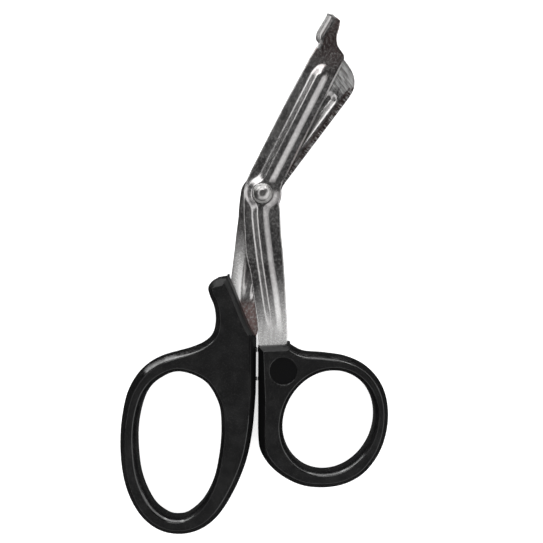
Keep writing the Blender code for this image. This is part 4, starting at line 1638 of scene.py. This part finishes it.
    def dress(self, handle: Piece) -> None:
        """Shade the handle, give each face its finish and put it on its body.

        Args:
            handle: The closed handle.
        """
        shade_smooth(handle, self.crease)
        handle.data.materials.clear()
        for texture in PlasticTexture:
            finish = MouldedPlastic(f"{self.name}_{texture.name.lower()}", texture)
            handle.data.materials.append(finish.material())
        for face in handle.data.polygons:
            face.material_index = self.texture_of(face).value
        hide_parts(self.node)
        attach(handle, self.body.value)

    def build(self) -> list[Piece]:
        """Build and dress the handle.

        Returns:
            The handle alone.
        """
        handle = self.outer_skin()
        skins = [self.hole_skin()]
        if self.recess:
            skins.append(self.recess_dish())
        join_to(handle, skins)
        face_outwards(handle)
        reach = (HALF_HANDLE - self.border_reach) * MM
        fill_border(handle, lambda place: place.z > PIVOT[2] + reach, flat=True)
        fill_border(handle, lambda place: place.z < PIVOT[2] - reach, flat=True)
        face_outwards(handle)
        join_to(handle, [add_block(f"{self.name}_block_{number}", block, self.block_rounding)
                         for number, block in enumerate(self.blocks)])
        self.dress(handle)
        return [handle]


# Where the stop nubs meet in y, and how long each is.
NUBS = ((-56.0, 1.5), (-66.4, 0.9))
NUB_HALF = 2.3
HOLE_STEP = 0.55
FINGER_OUTLINE = (
    Knot(-12.1, -29.2, 1.9, 0.7, True), Knot(-15.6, -29.8, 3.3, 0.1, True), Knot(-18.2, -31.4, 2.4),
    Knot(-19.5, -33.7, 1.6), Knot(-18.9, -36.5, 1.5), Knot(-17.3, -40.5, 1.6), Knot(-16.8, -45.4, 1.7),
    Knot(-17.8, -49.8, 1.9), Knot(-20.8, -52.9, 2.0), Knot(-26.0, -55.2, 2.1), Knot(-36.1, -58.1, 2.4),
    Knot(-42.3, -61.8, 2.6), Knot(-46.5, -67.1, 2.5), Knot(-49.2, -73.9, 2.2), Knot(-50.8, -85.0, 2.0),
    Knot(-50.5, -96.7, 1.9), Knot(-48.2, -106.8, 1.9), Knot(-43.5, -115.2, 1.9), Knot(-37.2, -120.2, 1.9),
    Knot(-29.9, -121.8, 1.9), Knot(-22.6, -120.3, 1.9), Knot(-16.2, -115.6, 1.9), Knot(-10.6, -107.2, 1.9),
    Knot(-6.0, -96.4, 1.8), Knot(-3.6, -85.0, 1.7), Knot(-2.4, -71.5, 1.6, 0.1, True),
    Knot(-2.2, -51.6, 1.4, 0.6, True), Knot(-4.45, -47.7, 1.4, 0.6), Knot(-6.2, -43.7, 1.4, 0.65),
    Knot(-7.9, -39.2, 1.5, 0.7), Knot(-9.9, -33.9, 1.7, 0.7, True),
)
FINGER_HOLE = (
    (-29.5, -63.6), (-36.6, -66.1), (-41.7, -71.5), (-44.4, -80.5), (-44.9, -90.0), (-43.5, -101.0),
    (-39.4, -110.3), (-34.4, -114.7), (-30.2, -115.6), (-26.2, -114.4), (-21.2, -109.7), (-17.4, -102.0),
    (-15.3, -92.0), (-14.7, -82.5), (-15.8, -74.5), (-20.6, -67.0),
)
THUMB_OUTLINE = (
    Knot(-1.6, -54.4, 1.9, 0.1, True), Knot(-1.6, -75.0, 2.6, 0.1, True), Knot(-1.5, -88.0, 2.4),
    Knot(-0.1, -93.4, 2.1), Knot(3.7, -98.4, 1.9), Knot(9.3, -102.4, 1.9), Knot(15.5, -104.7, 1.9),
    Knot(23.0, -105.1, 1.9), Knot(30.2, -103.6, 1.8), Knot(36.7, -99.6, 1.8), Knot(42.0, -92.4, 1.8),
    Knot(44.7, -83.6, 1.8), Knot(44.7, -74.6, 1.8), Knot(42.1, -67.2, 1.9), Knot(37.0, -61.6, 1.9),
    Knot(30.0, -58.3, 2.0), Knot(22.0, -57.0, 2.0), Knot(14.5, -56.3, 2.0), Knot(9.8, -53.9, 1.9, 0.1, True),
)


def stop_nubs(left: float, right: float) -> list[Block]:
    """Return the stop nubs that reach from one x to another."""
    return [((left, y - 0.5 * length, -NUB_HALF), (right, y + 0.5 * length, NUB_HALF)) for y, length in NUBS]


def finger_handle() -> RingHandle:
    """Size the finger handle: the long teardrop ring with the finger rest.

    Returns:
        The handle, not yet built.
    """
    hole = spline_round([Knot(x, y, 0.0) for x, y in FINGER_HOLE], HOLE_STEP)[:, :2]
    rest_peak = ((-12.5, -29.9, -2.9), (-11.9, -28.8, 3.0))
    return RingHandle("finger_handle_moulding", "finger_handle", Body.FINGER, FINGER_OUTLINE, hole,
                      (*stop_nubs(-3.8, -1.98), rest_peak), peak_zone=(-60.0, 0.0, -33.5))


def thumb_handle() -> RingHandle:
    """Size the thumb handle: the rounder ring with the recess in its face.

    Returns:
        The handle, not yet built.
    """
    hole = ellipse_round(centre=(23.6, -81.2), long_half=18.4, short_half=15.9, turn=64.0, count=190)
    corner = ((8.9, -54.6, -2.9), (9.9, -53.1, 3.0))
    return RingHandle("thumb_handle_moulding", "thumb_handle", Body.THUMB, THUMB_OUTLINE, hole,
                      (*stop_nubs(-1.78, -0.4), corner), peak_zone=(0.0, 9.8, -57.5),
                      recess=(7.4, -63.2, 4.9, 0.5))


@dataclass(frozen=True)
class Softbox:
    """One rectangular studio light: where it stands, how wide and high it looks, and its radiance."""

    name: str
    azimuth: float
    zenith: float
    wide: float
    high: float
    radiance: float
    glossy: bool = True
    distance: float = 0.8

    def across(self, angle: float) -> float:
        """Return how large the light is in metres to look this wide from the target."""
        return 2.0 * self.distance * math.tan(math.radians(0.5 * angle))

    def build(self, target: Vector) -> Piece:
        """Add the light, facing a target.

        Args:
            target: The place it faces, in metres.

        Returns:
            The light.
        """
        turn, tilt = math.radians(self.azimuth), math.radians(self.zenith)
        way = Vector((math.sin(tilt) * math.cos(turn), math.sin(tilt) * math.sin(turn), math.cos(tilt)))
        lamp = bpy.data.lights.new(self.name, "AREA")
        lamp.shape = "RECTANGLE"
        lamp.size = self.across(self.wide)
        lamp.size_y = self.across(self.high)
        lamp.energy = self.radiance * math.pi * lamp.size * lamp.size_y
        light = bpy.data.objects.new(self.name, lamp)
        light.location = target + self.distance * way
        light.rotation_euler = way.to_track_quat("Z", "Y").to_euler()
        light.visible_glossy = self.glossy
        bpy.context.scene.collection.objects.link(light)
        return light


@dataclass
class Studio:
    """The pale floor, the soft lights round it and the camera that took the photo, straight above.

    The camera's height and place and the floor's size are in metres, its lens and sensor in millimetres.
    """

    camera_height: float = 0.28
    camera_place: Point = (0.006188, 0.000857)
    lens: float = 51.565
    sensor: float = 36.0
    floor_half: float = 0.6
    paper: StudioPaper = StudioPaper()
    sky: Colour = (1.0, 1.0, 1.0, 1.0)
    sky_strength: float = 0.042
    boxes: tuple[Softbox, ...] = (
        Softbox("softbox_top", 100.0, 47.0, 44.0, 22.0, 2.8),
        Softbox("strip_left", 173.0, 37.0, 35.0, 18.0, 1.35),
        Softbox("softbox_right_high", -22.0, 37.0, 50.0, 17.0, 0.55),
        Softbox("softbox_right", -22.0, 63.0, 72.0, 35.0, 1.15),
        Softbox("softbox_below", -100.0, 50.0, 70.0, 44.0, 0.72),
        Softbox("low_left", 130.0, 79.0, 36.0, 8.0, 4.6),
        Softbox("low_top", 90.0, 80.0, 62.0, 8.0, 4.6),
        Softbox("low_right", 38.0, 79.0, 56.0, 8.0, 2.4),
        Softbox("overhead_fill", 90.0, 8.0, 80.0, 80.0, 1.5, glossy=False),
    )

    def lay_floor(self) -> None:
        """Lay the paper floor on the plane that the scissors lie on."""
        bpy.ops.mesh.primitive_plane_add(size=2.0 * self.floor_half, location=(0.0, 0.0, 0.0))
        floor = just_added("studio_floor")
        floor.data.materials.append(self.paper.material())
        floor.visible_glossy = False

    def light_world(self) -> None:
        """Give the world its even light, and leave colours as they are."""
        scene = bpy.context.scene
        scene.world = scene.world or bpy.data.worlds.new("studio_world")
        scene.world.use_nodes = True
        background = scene.world.node_tree.nodes["Background"]
        background.inputs["Color"].default_value = self.sky
        background.inputs["Strength"].default_value = self.sky_strength
        scene.view_settings.view_transform = "Standard"

    def place_camera(self, target: Vector) -> None:
        """Hang the camera over a target, looking straight down.

        Args:
            target: The middle of the picture, in metres.
        """
        eye = bpy.data.cameras.new("photo_camera")
        eye.lens = self.lens
        eye.sensor_width = self.sensor
        camera = bpy.data.objects.new("photo_camera", eye)
        camera.location = target + Vector((0.0, 0.0, self.camera_height))
        bpy.context.scene.collection.objects.link(camera)
        bpy.context.scene.camera = camera

    def build(self) -> None:
        """Build the floor, the world's light, the lights and the camera."""
        target = Vector((*self.camera_place, PIVOT[2]))
        self.lay_floor()
        self.light_world()
        for box in self.boxes:
            box.build(target)
        self.place_camera(target)


def main() -> None:
    """Build every piece in order, then the studio."""
    logging.basicConfig(level=logging.INFO, format="%(message)s")
    for builder in (LowerBlade(), UpperBlade(), PivotHardware(), finger_handle(), thumb_handle()):
        for piece in builder.build():
            log.info("%s: %d faces", piece.name, len(piece.data.polygons))
    Studio().build()
    log.info("studio: built")


if __name__ == "__main__":
    main()
